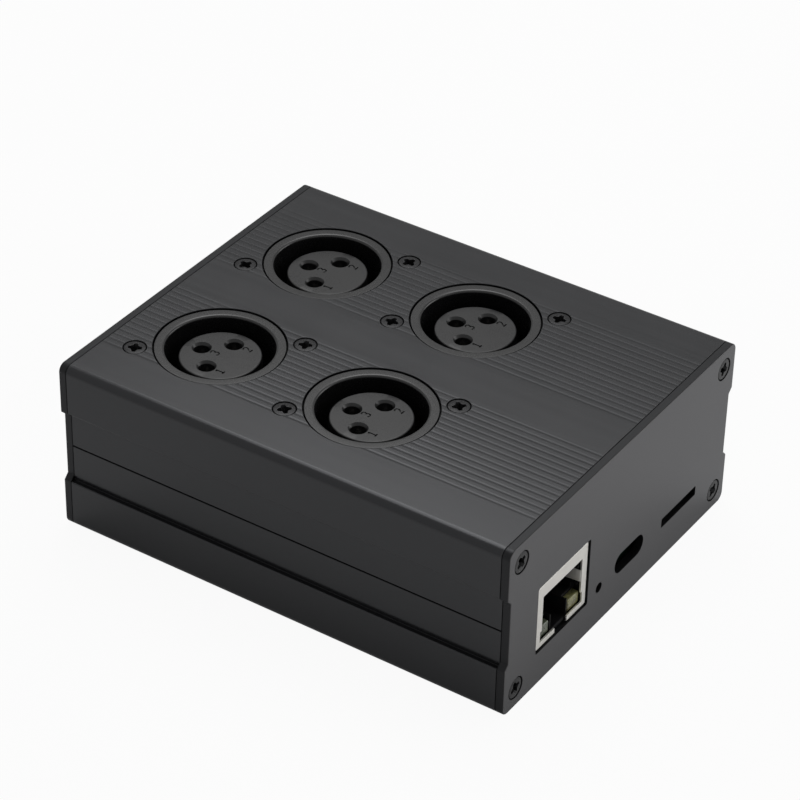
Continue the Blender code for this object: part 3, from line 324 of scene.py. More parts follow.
def turned(profile, facets, centre=(0, 0, 0), axis="Z"):
    """Mesh of (radius, height) points, from the axis back to the axis, turned about it."""
    shape = bmesh.new()
    points = [shape.verts.new((radius, 0, height)) for radius, height in profile]
    edges = [shape.edges.new(pair) for pair in zip(points[:-1], points[1:])]
    bmesh.ops.spin(
        shape,
        geom=points + edges,
        cent=(0, 0, 0),
        axis=(0, 0, 1),
        angle=2 * math.pi,
        steps=facets,
        use_merge=True,
    )
    turn = Matrix.Rotation(math.pi / 2, 4, "Y") if axis == "X" else Matrix.Identity(4)
    bmesh.ops.transform(shape, matrix=Matrix.Translation(centre) @ turn, verts=shape.verts)
    return mesh_from(shape, "turned")


def placed(name, data):
    """A new object in the scene, at the origin."""
    obj = bpy.data.objects.new(name, data)
    bpy.context.scene.collection.objects.link(obj)
    return obj


def modified(mesh, kind, **settings):
    """The mesh with one modifier applied."""
    obj = placed(kind, mesh)
    modifier = obj.modifiers.new(kind, kind)
    for key, value in settings.items():
        setattr(modifier, key, value)
    graph = bpy.context.evaluated_depsgraph_get()
    made = bpy.data.meshes.new_from_object(obj.evaluated_get(graph))
    bpy.data.objects.remove(obj)
    return made


def cut(mesh, *tools):
    """The mesh less each tool in turn."""
    for tool in tools:
        cutter = placed("cutter", tool)
        mesh = modified(mesh, "BOOLEAN", operation="DIFFERENCE", solver="EXACT", object=cutter)
        bpy.data.objects.remove(cutter)
    return mesh


def softened(mesh, width, segments):
    """Mesh with rounded edges wherever two faces turn by more than SOFTENED_ANGLE."""
    limit = {"limit_method": "ANGLE", "angle_limit": math.radians(SOFTENED_ANGLE)}
    return modified(mesh, "BEVEL", width=width, segments=segments, **limit)


def levelled(mesh):
    """Mesh whose large faces stay flat in shading beside their rounded edges."""
    return modified(mesh, "WEIGHTED_NORMAL", keep_sharp=True, weight=100)


def together(meshes):
    """One mesh of several, left as separate closed shells."""
    shape = bmesh.new()
    for mesh in meshes:
        shape.from_mesh(mesh)
    made = bpy.data.meshes.new("together")
    shape.to_mesh(made)
    shape.free()
    return made


def moved(mesh, *matrices):
    for matrix in matrices:
        mesh.transform(matrix)
    return mesh


def arc(centre, radius, start, end, facets):
    """Points of an arc between two angles in degrees."""
    points = []
    for i in range(facets + 1):
        angle = math.radians(start + (end - start) * i / facets)
        points.append((centre[0] + radius * math.cos(angle), centre[1] + radius * math.sin(angle)))
    return points


def rounded_rectangle(width, height, radius, facets, centre=(0, 0)):
    """Outline with so many facets at each corner."""
    a, b = width / 2 - radius, height / 2 - radius
    points = []
    for sign_a, sign_b, start in ((1, 1, 0), (-1, 1, 90), (-1, -1, 180), (1, -1, 270)):
        middle = (centre[0] + sign_a * a, centre[1] + sign_b * b)
        points += arc(middle, radius, start, start + 90, facets)
    return points


def obround(width, height, facets, centre):
    """Outline with half-round ends."""
    return rounded_rectangle(width, height, height / 2 - HAIR, facets, centre)


def mirrored(points):
    """(y, z) points of the other side wall, in the order that carries the outline on."""
    return [(-y, z) for y, z in reversed(points)]


def stroke(points, width):
    """Closed outline of a line of the given width through the points."""
    left, right = [], []
    for i, point in enumerate(points):
        before = Vector(points[max(i - 1, 0)])
        after = Vector(points[min(i + 1, len(points) - 1)])
        along = (after - before).normalized()
        across = Vector((-along.y, along.x)) * width / 2
        left.append(tuple(Vector(point) + across))
        right.append(tuple(Vector(point) - across))
    return left + right[::-1]


def piece(name, mesh, node, slot, finish=None, angle=30):
    """A shown piece that stands for a solid of the model and moves with the box."""
    mesh.materials.clear()
    mesh.materials.append(FINISHES[finish or slot])
    mesh.shade_smooth()
    mesh.set_sharp_from_angle(angle=math.radians(angle))
    obj = placed(name, levelled(mesh))
    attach(obj, "box")
    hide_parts(node)


def gilded(name, meshes):
    """Gold-plated contacts of the box that no solid of their own stands for."""
    mesh = together(meshes)
    mesh.materials.append(FINISHES["wire_gold"])
    obj = placed(name, mesh)
    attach(obj, "box")


# Finishes: noise scales are per metre, tones are linear, and bump depths are in mm

# Range that most of a noise's values fall in
NOISE_LOW = 0.3
NOISE_HIGH = 0.7

# Anodising: tint of its gloss; how metallic plate faces with their painted sheen, their edges
# and the grooves with their painted shade look; how wide an edge is rubbed bright and how wide it
# is dulled
GLOSS_TINT = (0.97, 0.985, 1.03)
SHEEN_METALLIC = 0.9
EDGE_SHADE_METALLIC = 0.45
GROOVE_SHADE_METALLIC = 0.24
RUBBED_EDGE = 0.1 * MM
DULLED_EDGE = 0.3 * MM
# Tone of a plate's faces: a painted sheen that makes them lighter than the plate's edges
PLATE_SHEEN_TONE = (0.108, 0.1052, 0.107)

# How wide a screw's edges are worn, and painted bright there as glints
WORN_GLINT_EDGE = 0.14 * MM

# Where masks come on: cosine of how far an edge's normal leans, and of how far a face is off
# the box's length (where the plates' painted sheen ends), and distance from a groove's middle as a
# share of the pitch (the width of the grooves' painted shade)
EDGE_COSINES = (0.98, 0.75)
FACING_COSINES = (0.6, 0.95)
GROOVE_SHARES = (0.08, 0.22)
BEVEL_SAMPLES = 4

# Moulded plastics: dark and light tone, roughness, grain scale, grain depth and specular level
PLASTICS = {
    "socket_plastic": ((0.006, 0.006, 0.0063), (0.008, 0.008, 0.0084), 0.25, 4200, 0.004, 0.6),
    "insert_plastic": ((0.01, 0.0101, 0.0104), (0.013, 0.0131, 0.0135), 0.3, 5000, 0.0012, 0.48),
    "header_plastic": ((0.006, 0.006, 0.0065), (0.009, 0.009, 0.0095), 0.5, 3800, 0.012, 0.5),
    "chip_epoxy": ((0.010, 0.010, 0.011), (0.016, 0.016, 0.017), 0.6, 4500, 0.015, 0.5),
    "jack_plastic": ((0.002, 0.002, 0.0022), (0.0035, 0.0035, 0.0037), 0.5, 3800, 0.012, 0.2),
    "plunger_plastic": ((0.012, 0.012, 0.0125), (0.018, 0.018, 0.0185), 0.45, 3800, 0.012, 0.5),
    "card_plastic": ((0.005, 0.005, 0.0055), (0.008, 0.008, 0.0085), 0.36, 5000, 0.006, 0.5),
}


class Nodes:
    """A material's node tree, with short calls to add to it."""

    def __init__(self, name):
        self.material = bpy.data.materials.new(name)
        self.material.use_nodes = True
        self.tree = self.material.node_tree
        self.shader = self.tree.nodes["Principled BSDF"]
        self.place = self.add("ShaderNodeTexCoord").outputs["Object"]

    def add(self, kind, **settings):
        made = self.tree.nodes.new(kind)
        for key, value in settings.items():
            setattr(made, key, value)
        return made

    def link(self, source, target):
        self.tree.links.new(source, target)

    def feed(self, target, value):
        """Gives a socket another socket's value, a number or an opaque colour."""
        if isinstance(value, bpy.types.NodeSocket):
            self.link(value, target)
        elif isinstance(value, tuple):
            target.default_value = (*value, 1.0)
        else:
            target.default_value = value

    def noise(self, scale, detail, rough=0.55, stretch=(1, 1, 1)):
        mapping = self.add("ShaderNodeMapping")
        self.link(self.place, mapping.inputs["Vector"])
        mapping.inputs["Scale"].default_value = stretch
        made = self.add("ShaderNodeTexNoise")
        self.link(mapping.outputs["Vector"], made.inputs["Vector"])
        made.inputs["Scale"].default_value = scale
        made.inputs["Detail"].default_value = detail
        made.inputs["Roughness"].default_value = rough
        return made.outputs["Fac"]

    def spread(self, value, low, high, to_low, to_high):
        made = self.add("ShaderNodeMapRange")
        self.feed(made.inputs["Value"], value)
        made.inputs["From Min"].default_value = low
        made.inputs["From Max"].default_value = high
        made.inputs["To Min"].default_value = to_low
        made.inputs["To Max"].default_value = to_high
        return made.outputs["Result"]

    def varied(self, noise, to_low, to_high):
        return self.spread(noise, NOISE_LOW, NOISE_HIGH, to_low, to_high)

    def maths(self, operation, first, second=0.0):
        made = self.add("ShaderNodeMath", operation=operation)
        self.feed(made.inputs[0], first)
        self.feed(made.inputs[1], second)
        return made.outputs["Value"]

    def times(self, first, second):
        return self.maths("MULTIPLY", first, second)

    def plus(self, first, second):
        return self.maths("ADD", first, second)

    def mixed(self, share, first, second):
        made = self.add("ShaderNodeMix", data_type="RGBA")
        self.feed(made.inputs["Factor"], share)
        self.feed(made.inputs["A"], first)
        self.feed(made.inputs["B"], second)
        return made.outputs["Result"]

    def edges(self, radius):
        """Near one on outward edges and near nought on flats: how far a rounded normal leans."""
        soft = self.add("ShaderNodeBevel", samples=BEVEL_SAMPLES)
        soft.inputs["Radius"].default_value = radius
        plain = self.add("ShaderNodeNewGeometry")
        dot = self.add("ShaderNodeVectorMath", operation="DOT_PRODUCT")
        self.link(soft.outputs["Normal"], dot.inputs[0])
        self.link(plain.outputs["Normal"], dot.inputs[1])
        return self.spread(dot.outputs["Value"], *EDGE_COSINES, 0.0, 1.0)

    def sheen_mask(self):
        """One on faces square to the box's length, nought on the edges round them: a plate's
        painted sheen.
        """
        parts = self.add("ShaderNodeSeparateXYZ")
        self.link(self.add("ShaderNodeTexCoord").outputs["Normal"], parts.inputs["Vector"])
        return self.spread(self.maths("ABSOLUTE", parts.outputs["X"]), *FACING_COSINES, 0.0, 1.0)

    def groove_shade(self):
        """One along the middle of each groove in the top and nought between them: the painted
        groove shade.
        """
        parts = self.add("ShaderNodeSeparateXYZ")
        self.link(self.place, parts.inputs["Vector"])
        off = self.maths("SUBTRACT", self.maths("ABSOLUTE", parts.outputs["Y"]), GROOVE_BAND_Y)
        count = self.maths("DIVIDE", off, GROOVE_PITCH)
        near = self.maths("ABSOLUTE", self.maths("SUBTRACT", count, self.maths("ROUND", count)))
        line = self.spread(near, *GROOVE_SHARES, 1.0, 0.0)
        band = self.maths("LESS_THAN", self.maths("ABSOLUTE", count), GROOVES / 2)
        top = self.maths("GREATER_THAN", parts.outputs["Z"], HEIGHT - GROOVE_ZONE)
        return self.times(line, self.times(band, top))

    def bump(self, height, strength, depth, under=None):
        made = self.add("ShaderNodeBump")
        made.inputs["Strength"].default_value = strength
        made.inputs["Distance"].default_value = depth * MM
        self.link(height, made.inputs["Height"])
        if under is not None:
            self.link(under, made.inputs["Normal"])
        return made.outputs["Normal"]

    def finish(self, colour, roughness, metallic, normal=None, **shader_values):
        inputs = self.shader.inputs
        self.link(colour, inputs["Base Color"])
        self.feed(inputs["Roughness"], roughness)
        self.feed(inputs["Metallic"], metallic)
        if normal is not None:
            self.link(normal, inputs["Normal"])
        for key, value in shader_values.items():
            self.feed(inputs[key.replace("_", " ")], value)
        return self.material


def anodised(name, stretch, streak, face_tone=None):
    """Black anodised aluminium: fine blasted grain, faint drawing lines and softly worn edges.

    A plate has a painted sheen, a lighter, more metallic tone, on its faces, and painted shade on
    its edges.
    A shell has none, and its grooves are a little more metallic, which paints shade along them.
    """
    n = Nodes(name)
    lines = n.noise(900, 2.0, 0.5, stretch)
    grain = n.noise(5200, 2.0, 0.6)
    cloud = n.noise(60, 4.0, 0.6)
    rubbed = n.times(n.edges(RUBBED_EDGE), n.spread(n.noise(700, 2.0), 0.35, 0.65, 0.0, 1.0))
    tone = n.mixed(n.varied(cloud, 0.0, 1.0), (0.0045, 0.0046, 0.0050), (0.0058, 0.0059, 0.0064))
    tone = n.mixed(n.varied(lines, 0.0, streak), tone, (0.0085, 0.0085, 0.009))
    tone = n.mixed(n.times(rubbed, 0.12), tone, (0.05, 0.05, 0.052))
    rough = n.plus(n.varied(lines, 0.21, 0.25), n.varied(cloud, -0.01, 0.02))
    rough = n.plus(rough, n.times(n.edges(DULLED_EDGE), 0.3))
    normal = n.bump(grain, 0.25, 0.003, n.bump(lines, 0.2, 0.002))
    if face_tone is None:
        # Painted shade: grooves a little more metallic, so the near-black tone reflects less along
        # them
        metallic = n.times(n.groove_shade(), GROOVE_SHADE_METALLIC)
    else:
        # Painted sheen on a plate's faces, lighter and more metallic; painted shade on the edges
        # round them
        face = n.sheen_mask()
        streaked_sheen = n.mixed(n.varied(lines, 0.0, 0.4), face_tone, tuple(1.1 * c for c in face_tone))
        tone = n.mixed(face, tone, streaked_sheen)
        metallic = n.spread(face, 0.0, 1.0, EDGE_SHADE_METALLIC, SHEEN_METALLIC)
        rough = n.plus(rough, n.times(n.maths("SUBTRACT", 1.0, face), 0.12))
    gloss = {"Specular_IOR_Level": 0.57, "Specular_Tint": GLOSS_TINT}
    return n.finish(tone, rough, metallic, normal, **gloss)


def moulded(name, dark, light, rough, grain_scale, grain_depth, shine):
    """Moulded plastic with a fine spark-eroded texture."""
    n = Nodes(name)
    grain = n.noise(grain_scale, 3.0, 0.6)
    cloud = n.noise(90, 3.0, 0.6)
    tone = n.mixed(n.varied(cloud, 0.0, 1.0), dark, light)
    roughness = n.plus(n.varied(grain, rough - 0.04, rough + 0.04), n.varied(cloud, -0.02, 0.02))
    return n.finish(tone, roughness, 0.0, n.bump(grain, 0.4, grain_depth), Specular_IOR_Level=shine)


def screw_steel(name):
    """Steel blackened by plating, worn through a little where the driver turns; the worn edges'
    brighter metal also paints glints.
    """
    n = Nodes(name)
    grain = n.noise(2600, 3.0, 0.6)
    worn_glint = n.times(n.edges(WORN_GLINT_EDGE), n.spread(n.noise(1500, 2.0), 0.45, 0.6, 0.0, 1.0))
    tone = n.spread(grain, 0.35, 0.65, 0.0, 1.0)
    tone = n.mixed(tone, (0.014, 0.014, 0.015), (0.024, 0.024, 0.026))
    # Worn edges: partly real wear and partly painted glints of brighter metal
    tone = n.mixed(n.times(worn_glint, 0.45), tone, (0.4, 0.4, 0.41))
    return n.finish(tone, n.varied(grain, 0.22, 0.33), 0.55, n.bump(grain, 0.25, 0.006))


def nickel_sheet(name):
    """Nickel-plated sheet with faint rolling lines and clouding from handling."""
    n = Nodes(name)
    lines = n.noise(700, 2.0, 0.5, (8, 8, 0.3))
    cloud = n.noise(260, 4.0, 0.6)
    tone = n.mixed(n.varied(cloud, 0.0, 1.0), (0.92, 0.90, 0.85), (0.97, 0.95, 0.90))
    rough = n.plus(n.varied(lines, 0.28, 0.38), n.varied(cloud, 0.0, 0.06))
    return n.finish(tone, rough, 0.72, n.bump(lines, 0.25, 0.005))


def contact_plating(name, colour):
    """Plated metal with patches of tarnish."""
    n = Nodes(name)
    cloud = n.noise(900, 3.0, 0.6)
    tone = n.mixed(n.varied(cloud, 0.0, 0.4), colour, tuple(c * 0.6 for c in colour))
    return n.finish(tone, n.varied(cloud, 0.22, 0.34), 1.0, n.bump(cloud, 0.2, 0.004))


def laminate(name):
    """Board with green solder mask: copper runs show through as slightly raised, lighter lines."""
    n = Nodes(name)
    bricks = n.add("ShaderNodeTexBrick")
    n.link(n.place, bricks.inputs["Vector"])
    bricks.inputs["Scale"].default_value = 260
    bricks.inputs["Mortar Size"].default_value = 0.03
    for part, level in (("Color1", 0.0), ("Color2", 0.0), ("Mortar", 1.0)):
        n.feed(bricks.inputs[part], (level, level, level))
    runs = bricks.outputs["Color"]
    weave = n.noise(1800, 2.0)
    tone = n.mixed(runs, (0.003, 0.012, 0.006), (0.007, 0.03, 0.013))
    tone = n.mixed(n.varied(weave, 0.0, 0.25), tone, (0.007, 0.02, 0.01))
    return n.finish(tone, n.varied(weave, 0.28, 0.4), 0.0, n.bump(runs, 0.4, 0.03))


def lamp(name, colour, deep):
    """Tinted translucent lamp body, clouded with a deeper colour."""
    n = Nodes(name)
    cloud = n.noise(500, 2.0)
    tone = n.mixed(n.varied(cloud, 0.0, 1.0), colour, deep)
    glass = {"Transmission_Weight": 0.35, "Coat_Weight": 0.3, "Coat_Roughness": 0.15}
    return n.finish(tone, n.varied(cloud, 0.2, 0.32), 0.0, n.bump(cloud, 0.15, 0.01), **glass)


FINISHES = {name: moulded(name, *row) for name, row in PLASTICS.items()}
FINISHES["anodised_black"] = anodised("anodised_black", (0.02, 1, 1), 0.6)
# The plates' finish carries a painted sheen on their faces and painted shade on their edges
FINISHES["plate_black_sheen"] = anodised("plate_black_sheen", (1, 1, 1), 0.3, PLATE_SHEEN_TONE)
FINISHES["black_screw_steel"] = screw_steel("black_screw_steel")
FINISHES["shield_metal"] = nickel_sheet("shield_metal")
FINISHES["contact_metal"] = contact_plating("contact_metal", (0.3, 0.29, 0.27))
FINISHES["wire_gold"] = contact_plating("wire_gold", (0.9, 0.66, 0.3))
FINISHES["board_laminate"] = laminate("board_laminate")
FINISHES["lamp_green"] = lamp("lamp_green", (0.22, 0.26, 0.18), (0.06, 0.08, 0.05))
FINISHES["lamp_yellow"] = lamp("lamp_yellow", (0.5, 0.5, 0.22), (0.16, 0.14, 0.06))


# Enclosure


def groove(middle):
    """Points across one shallow round-bottomed groove in the face z = 0."""
    points = []
    for i in range(GROOVE_STEPS + 1):
        share = 2 * i / GROOVE_STEPS - 1
        depth = GROOVE_DEPTH * (1 + math.cos(math.pi * share)) / 2
        points.append((middle + GROOVE_HALF * share, depth))
    return points


def groove_band(centre):
    points = []
    for i in range(GROOVES):
        points += groove(centre + (i - (GROOVES - 1) / 2) * GROOVE_PITCH)
    return points


def outer_side():
    """Outside of a side wall, from the base round its corner and over the step to the seam."""
    half = WIDTH / 2
    ledge = MIDDLE - STEP_HALF
    seam = MIDDLE - FIT / 2
    corner = arc((half - CORNER, CORNER), CORNER, -90, 0, CORNER_FACETS)
    shoulder_centre = (half - STEP_ROUND, ledge - STEP_ROUND)
    shoulder = arc(shoulder_centre, STEP_ROUND, 0, 90, STEP_ROUND_FACETS)
    foot_centre = (half - STEP + STEP_FOOT, ledge + STEP_FOOT)
    foot = arc(foot_centre, STEP_FOOT, -90, -180, EASE_FACETS)
    lip_centre = (half - STEP - SEAM_LIP, seam - SEAM_LIP)
    lip = arc(lip_centre, SEAM_LIP, 0, 90, EASE_FACETS)
    return corner + shoulder + foot + lip


def seam_edge(tongue):
    """Edge of a side wall at the seam, with the tongue or with the groove for it."""
    seam = MIDDLE - FIT / 2
    inner = WIDTH / 2 - STEP - WALL
    if tongue:
        tip = inner + TONGUE_THICKNESS
        return [(tip, seam), (tip, seam + TONGUE_HEIGHT), (inner, seam + TONGUE_HEIGHT)]
    back = inner + TONGUE_THICKNESS + FIT
    return [(back, seam), (back, seam - TONGUE_HEIGHT), (inner, seam - TONGUE_HEIGHT)]


def inner_side():
    """Inside of a side wall, from the seam down over the board's rail and round the screw port."""
    rail_low = BOARD_TOP + FIT
    rail_high = rail_low + RAIL_THICKNESS
    wall = WIDTH / 2 - WALL
    rail_tip = wall - RAIL_REACH
    centre = (PORT_Y, PORT_Z)
    roof = math.degrees(math.asin((PORT_TOP - PORT_Z) / PORT_OUTSIDE))
    floor_turn = math.degrees(math.asin((PORT_Z - SKIN) / PORT_OUTSIDE))
    lip_outside = math.degrees(math.asin(PORT_SLOT / 2 / PORT_OUTSIDE))
    lip_bore = math.degrees(math.asin(PORT_SLOT / 2 / PORT_BORE))
    points = [
        (WIDTH / 2 - STEP - WALL, rail_high),
        (rail_tip, rail_high),
        (rail_tip, rail_low),
        (wall, rail_low),
        (wall, PORT_TOP),
    ]
    points += arc(centre, PORT_OUTSIDE, 180 - roof, 180 - lip_outside, PORT_LIP_FACETS)
    points += arc(centre, PORT_BORE, 180 - lip_bore, lip_bore - 180, PORT_FACETS)
    points += arc(centre, PORT_OUTSIDE, 180 + lip_outside, 180 + floor_turn, PORT_LIP_FACETS)
    return points


def shell_section():
    """Section of either half, grooved face down: groove on the right wall, tongue on the left."""
    right = outer_side() + seam_edge(False) + inner_side()
    left = outer_side() + seam_edge(True) + inner_side()
    return groove_band(-GROOVE_BAND_Y) + groove_band(GROOVE_BAND_Y) + right + mirrored(left)


def sink_profile(shank, thickness):
    """Profile of the hole for a countersunk screw in a sheet whose face is at nought."""
    mouth = SCREW_HEAD / 2 + SINK_GAP
    hole = shank / 2 + FIT
    rim = SCREW_RECESS + SCREW_RIM
    return [
        (0, -thickness - PAST),
        (hole, -thickness - PAST),
        (hole, -rim - (mouth - hole)),
        (mouth, -rim),
        (mouth, -SINK_EASE),
        (mouth + SINK_EASE, 0),
        (mouth + SINK_EASE, PAST),
        (0, PAST),
    ]


def shells():
    """The two halves of the extruded box, the upper one with its sockets' holes."""
    lower = prism(shell_section(), -SHELL_END, SHELL_END, "X")
    upper = prism(shell_section(), -SHELL_END, SHELL_END, "X")
    middle = Matrix.Translation((0, 0, MIDDLE))
    moved(upper, middle @ Matrix.Rotation(math.pi, 4, "X") @ middle.inverted())
    low = HEIGHT - SKIN - PAST
    hole = [
        (0, low),
        (PANEL_HOLE, low),
        (PANEL_HOLE, HEIGHT - PANEL_HOLE_EASE),
        (PANEL_HOLE + PANEL_HOLE_EASE, HEIGHT),
        (PANEL_HOLE + PANEL_HOLE_EASE, HEIGHT + PAST),
        (0, HEIGHT + PAST),
    ]
    sink = sink_profile(FLANGE_SCREW_SHANK, SKIN)
    tools = []
    for x, y in SOCKETS.values():
        tools.append(turned(hole, RING_FACETS, (x, y, 0)))
        for side in (-1, 1):
            at = (x + side * FLANGE_SCREW[0], y + side * FLANGE_SCREW[1], HEIGHT)
            tools.append(turned(sink, SINK_FACETS, at))
    upper = cut(upper, together(tools))
    piece("upper_half", upper, "upper_shell", "anodised_black", angle=SHELL_SHARP_ANGLE)
    piece("lower_half", lower, "lower_shell", "anodised_black", angle=SHELL_SHARP_ANGLE)


def plate_outline():
    """The box's outline over both halves, with a notch in each side."""
    half = WIDTH / 2
    low, high = MIDDLE - STEP_HALF, MIDDLE + STEP_HALF
    points = arc((half - CORNER, CORNER), CORNER, -90, 0, CORNER_FACETS)
    points += [(half, low), (half - STEP, low + STEP), (half - STEP, high - STEP), (half, high)]
    points += arc((half - CORNER, HEIGHT - CORNER), CORNER, 0, 90, CORNER_FACETS)
    return points + mirrored(points)


def plate_mesh():
    """An end plate with its outer face at x = PLATE and its four countersunk holes."""
    mesh = rounded_prism(plate_outline(), 0, PLATE, PLATE_EDGE_ROUND, EASE_FACETS)
    sink = sink_profile(PLATE_SCREW_SHANK, PLATE)
    tools = [turned(sink, SINK_FACETS, (PLATE, y, z), "X") for y, z in PLATE_SCREWS]
    return cut(mesh, together(tools))


def plates():
    """The two end plates, the front one with the openings of its ports."""
    inside = LENGTH / 2 - PLATE
    low, high = inside - PAST, LENGTH / 2 + PAST
    pin = [(0, -PAST), (PINHOLE, -PAST), (PINHOLE, PLATE + PAST), (0, PLATE + PAST)]
    openings = (
        rounded_rectangle(*JACK_OPENING, JACK_CENTRE),
        obround(*USB_OPENING, USB_CENTRE),
        rounded_rectangle(*CARD_OPENING, CARD_CENTRE),
    )
    tools = [prism(outline, low, high, "X") for outline in openings]
    tools.append(turned(pin, CONTACT_FACETS, (inside, *PINHOLE_CENTRE), "X"))
    out = Matrix.Translation((inside, 0, 0))
    front = cut(moved(plate_mesh(), out), together(tools))
    rear = moved(plate_mesh(), Matrix.Rotation(math.pi, 4, "Z") @ out)
    piece("port_plate", front, "front_plate", "anodised_black", "plate_black_sheen")
    piece("back_plate", rear, "rear_plate", "anodised_black", "plate_black_sheen")


# Screws


def cross_cutter():
    """Tapered cross-shaped pit."""
    outline = []
    corners = ((CROSS_SPAN, -CROSS_TIP), (CROSS_SPAN, CROSS_TIP), (CROSS_INNER, CROSS_INNER))
    for quarter in range(4):
        turn = Matrix.Rotation(quarter * math.pi / 2, 2)
        outline += [tuple(turn @ Vector(corner)) for corner in corners]
    mesh = prism(outline, -CROSS_DEPTH, CROSS_RISE)
    for vertex in mesh.vertices:
        if vertex.co.z < 0:
            vertex.co.x *= CROSS_TAPER
            vertex.co.y *= CROSS_TAPER
    return mesh


def screw(name, shank, length, place):
    """A countersunk cross-head screw, made with its head's face at the origin."""
    half = SCREW_HEAD / 2
    profile = [(0, -length), (shank / 2, -length), (shank / 2, -SCREW_RIM - (half - shank / 2))]
    profile += [(half, -SCREW_RIM), (half, -SCREW_EASE)]
    profile += arc((half - SCREW_EASE, -SCREW_EASE), SCREW_EASE, 0, 90, EDGE_FACETS)[1:]
    profile.append((0, 0))
    mesh = cut(turned(profile, SCREW_FACETS), cross_cutter())
    piece(name + "_fine", moved(mesh, place), name, "black_screw_steel")


def screws():
    """Four screws in each end plate and two at each socket, each turned its own way."""
    for side, end in ((1, "front"), (-1, "rear")):
        lay = Matrix.Rotation(side * math.pi / 2, 4, "Y")
        for number, (y, z) in enumerate(PLATE_SCREWS, 1):
            spin = Matrix.Rotation(PLATE_SCREW_TURN * number, 4, "Z")
            place = Matrix.Translation((side * (LENGTH / 2 - SCREW_RECESS), y, z)) @ lay @ spin
            screw(f"{end}_screw_{number}", PLATE_SCREW_SHANK, PLATE_SCREW_LENGTH, place)
    dx, dy = FLANGE_SCREW
    for number, (x, y) in SOCKETS.items():
        spin = Matrix.Rotation(FLANGE_SCREW_TURN * number, 4, "Z")
        for letter, sign in (("a", -1), ("b", 1)):
            at = (x + sign * dx, y + sign * dy, HEIGHT - SCREW_RECESS)
            name = f"xlr_{number}_screw_{letter}"
            screw(name, FLANGE_SCREW_SHANK, FLANGE_SCREW_LENGTH, Matrix.Translation(at) @ spin)


# XLR sockets


def housing_mesh():
    """Barrel with a round-mouthed ring, and the flange under the panel with two screw bosses."""
    mouth_centre = (RING_BORE + RING_MOUTH, RING_TOP - RING_MOUTH)
    mouth = arc(mouth_centre, RING_MOUTH, 180, 90, RING_MOUTH_FACETS)
    rim = arc((RING_OUTSIDE - RING_EASE, RING_TOP - RING_EASE), RING_EASE, 90, 0, EASE_FACETS)
    profile = [(0, HOUSING_FLOOR), (RING_BORE, HOUSING_FLOOR)] + mouth + rim
    profile += [(RING_OUTSIDE, HOUSING_LOW), (0, HOUSING_LOW)]
    barrel = turned(profile, RING_FACETS)
    corner = (FLANGE_CORNER, FLANGE_CORNER_FACETS)
    outline = rounded_rectangle(FLANGE_LENGTH, FLANGE_WIDTH, *corner)
    low = FLANGE_TOP - FLANGE_THICKNESS
    hole = RING_OUTSIDE - FLANGE_OVERLAP
    inside = [(0, low - PAST), (hole, low - PAST), (hole, HEIGHT), (0, HEIGHT)]
    flange = cut(prism(outline, low, FLANGE_TOP), turned(inside, SCREW_FACETS))
    parts = [barrel, flange]
    boss = [(0, BOSS_LOW), (BOSS_RADIUS, BOSS_LOW), (BOSS_RADIUS, BOSS_TOP), (0, BOSS_TOP)]
    for sign in (-1, 1):
        at = (sign * FLANGE_SCREW[0], sign * FLANGE_SCREW[1], 0)
        parts.append(turned(boss, BOSS_FACETS, at))
    return together(parts)


def digit_strokes(digit):
    """Centre lines of a digit 1.0 high and about 0.6 wide, centred on the origin."""
    if digit == 1:
        stem = [(0.03, 0.5), (0.03, -0.5)]
        return [[(-0.16, 0.3), (0.03, 0.47)], stem, [(-0.22, -0.47), (0.28, -0.47)]]
    if digit == 2:
        bow = arc((0, 0.22), 0.27, 165, -35, 10)
        return [bow + [(-0.1, -0.28), (-0.28, -0.47)], [(-0.3, -0.46), (0.3, -0.46)]]
    upper = arc((0, 0.24), 0.25, 150, -90, 12)
    lower = arc((0, -0.24), 0.27, 90, -150, 12)
    return [upper, lower]


def insert_mesh():
    """Round insert with a lead-in at each contact and its number sunk beside it."""
    edge_centre = (INSERT_RADIUS - INSERT_EDGE, INSERT_TOP - INSERT_EDGE)
    edge = arc(edge_centre, INSERT_EDGE, 0, 90, EDGE_FACETS)
    profile = [(0, INSERT_LOW), (INSERT_RADIUS, INSERT_LOW)] + edge + [(0, INSERT_TOP)]
    step = INSERT_TOP - CONTACT_HOLE_DEPTH
    inner, outer = (LEAD_IN + ease for ease in LEAD_IN_SPREAD)
    bore = [
        (0, INSERT_LOW - PAST),
        (CONTACT_CELL, INSERT_LOW - PAST),
        (CONTACT_CELL, step),
        (CONTACT_HOLE, step),
        (CONTACT_HOLE, INSERT_TOP - LEAD_IN_DEPTH),
        (inner, INSERT_TOP - LEAD_IN_EASE),
        (outer, INSERT_TOP),
        (outer, INSERT_TOP + PAST),
        (0, INSERT_TOP + PAST),
    ]
    bores = [turned(bore, BORE_FACETS, (x, y, 0)) for x, y in CONTACT_PLACES]
    mesh = cut(turned(profile, RING_FACETS), together(bores))
    upright = Matrix.Rotation(math.pi / 2, 4, "Z")
    for digit, (x, y) in enumerate(CONTACT_PLACES, 1):
        beside = Matrix.Translation((x + NUMBER_OFFSET, y, 0))
        for line in digit_strokes(digit):
            path = [(a * NUMBER_HEIGHT, b * NUMBER_HEIGHT) for a, b in line]
            tool = prism(stroke(path, NUMBER_STROKE), INSERT_TOP - NUMBER_DEPTH, INSERT_TOP + PAST)
            mesh = cut(mesh, moved(tool, upright, beside))
    return mesh


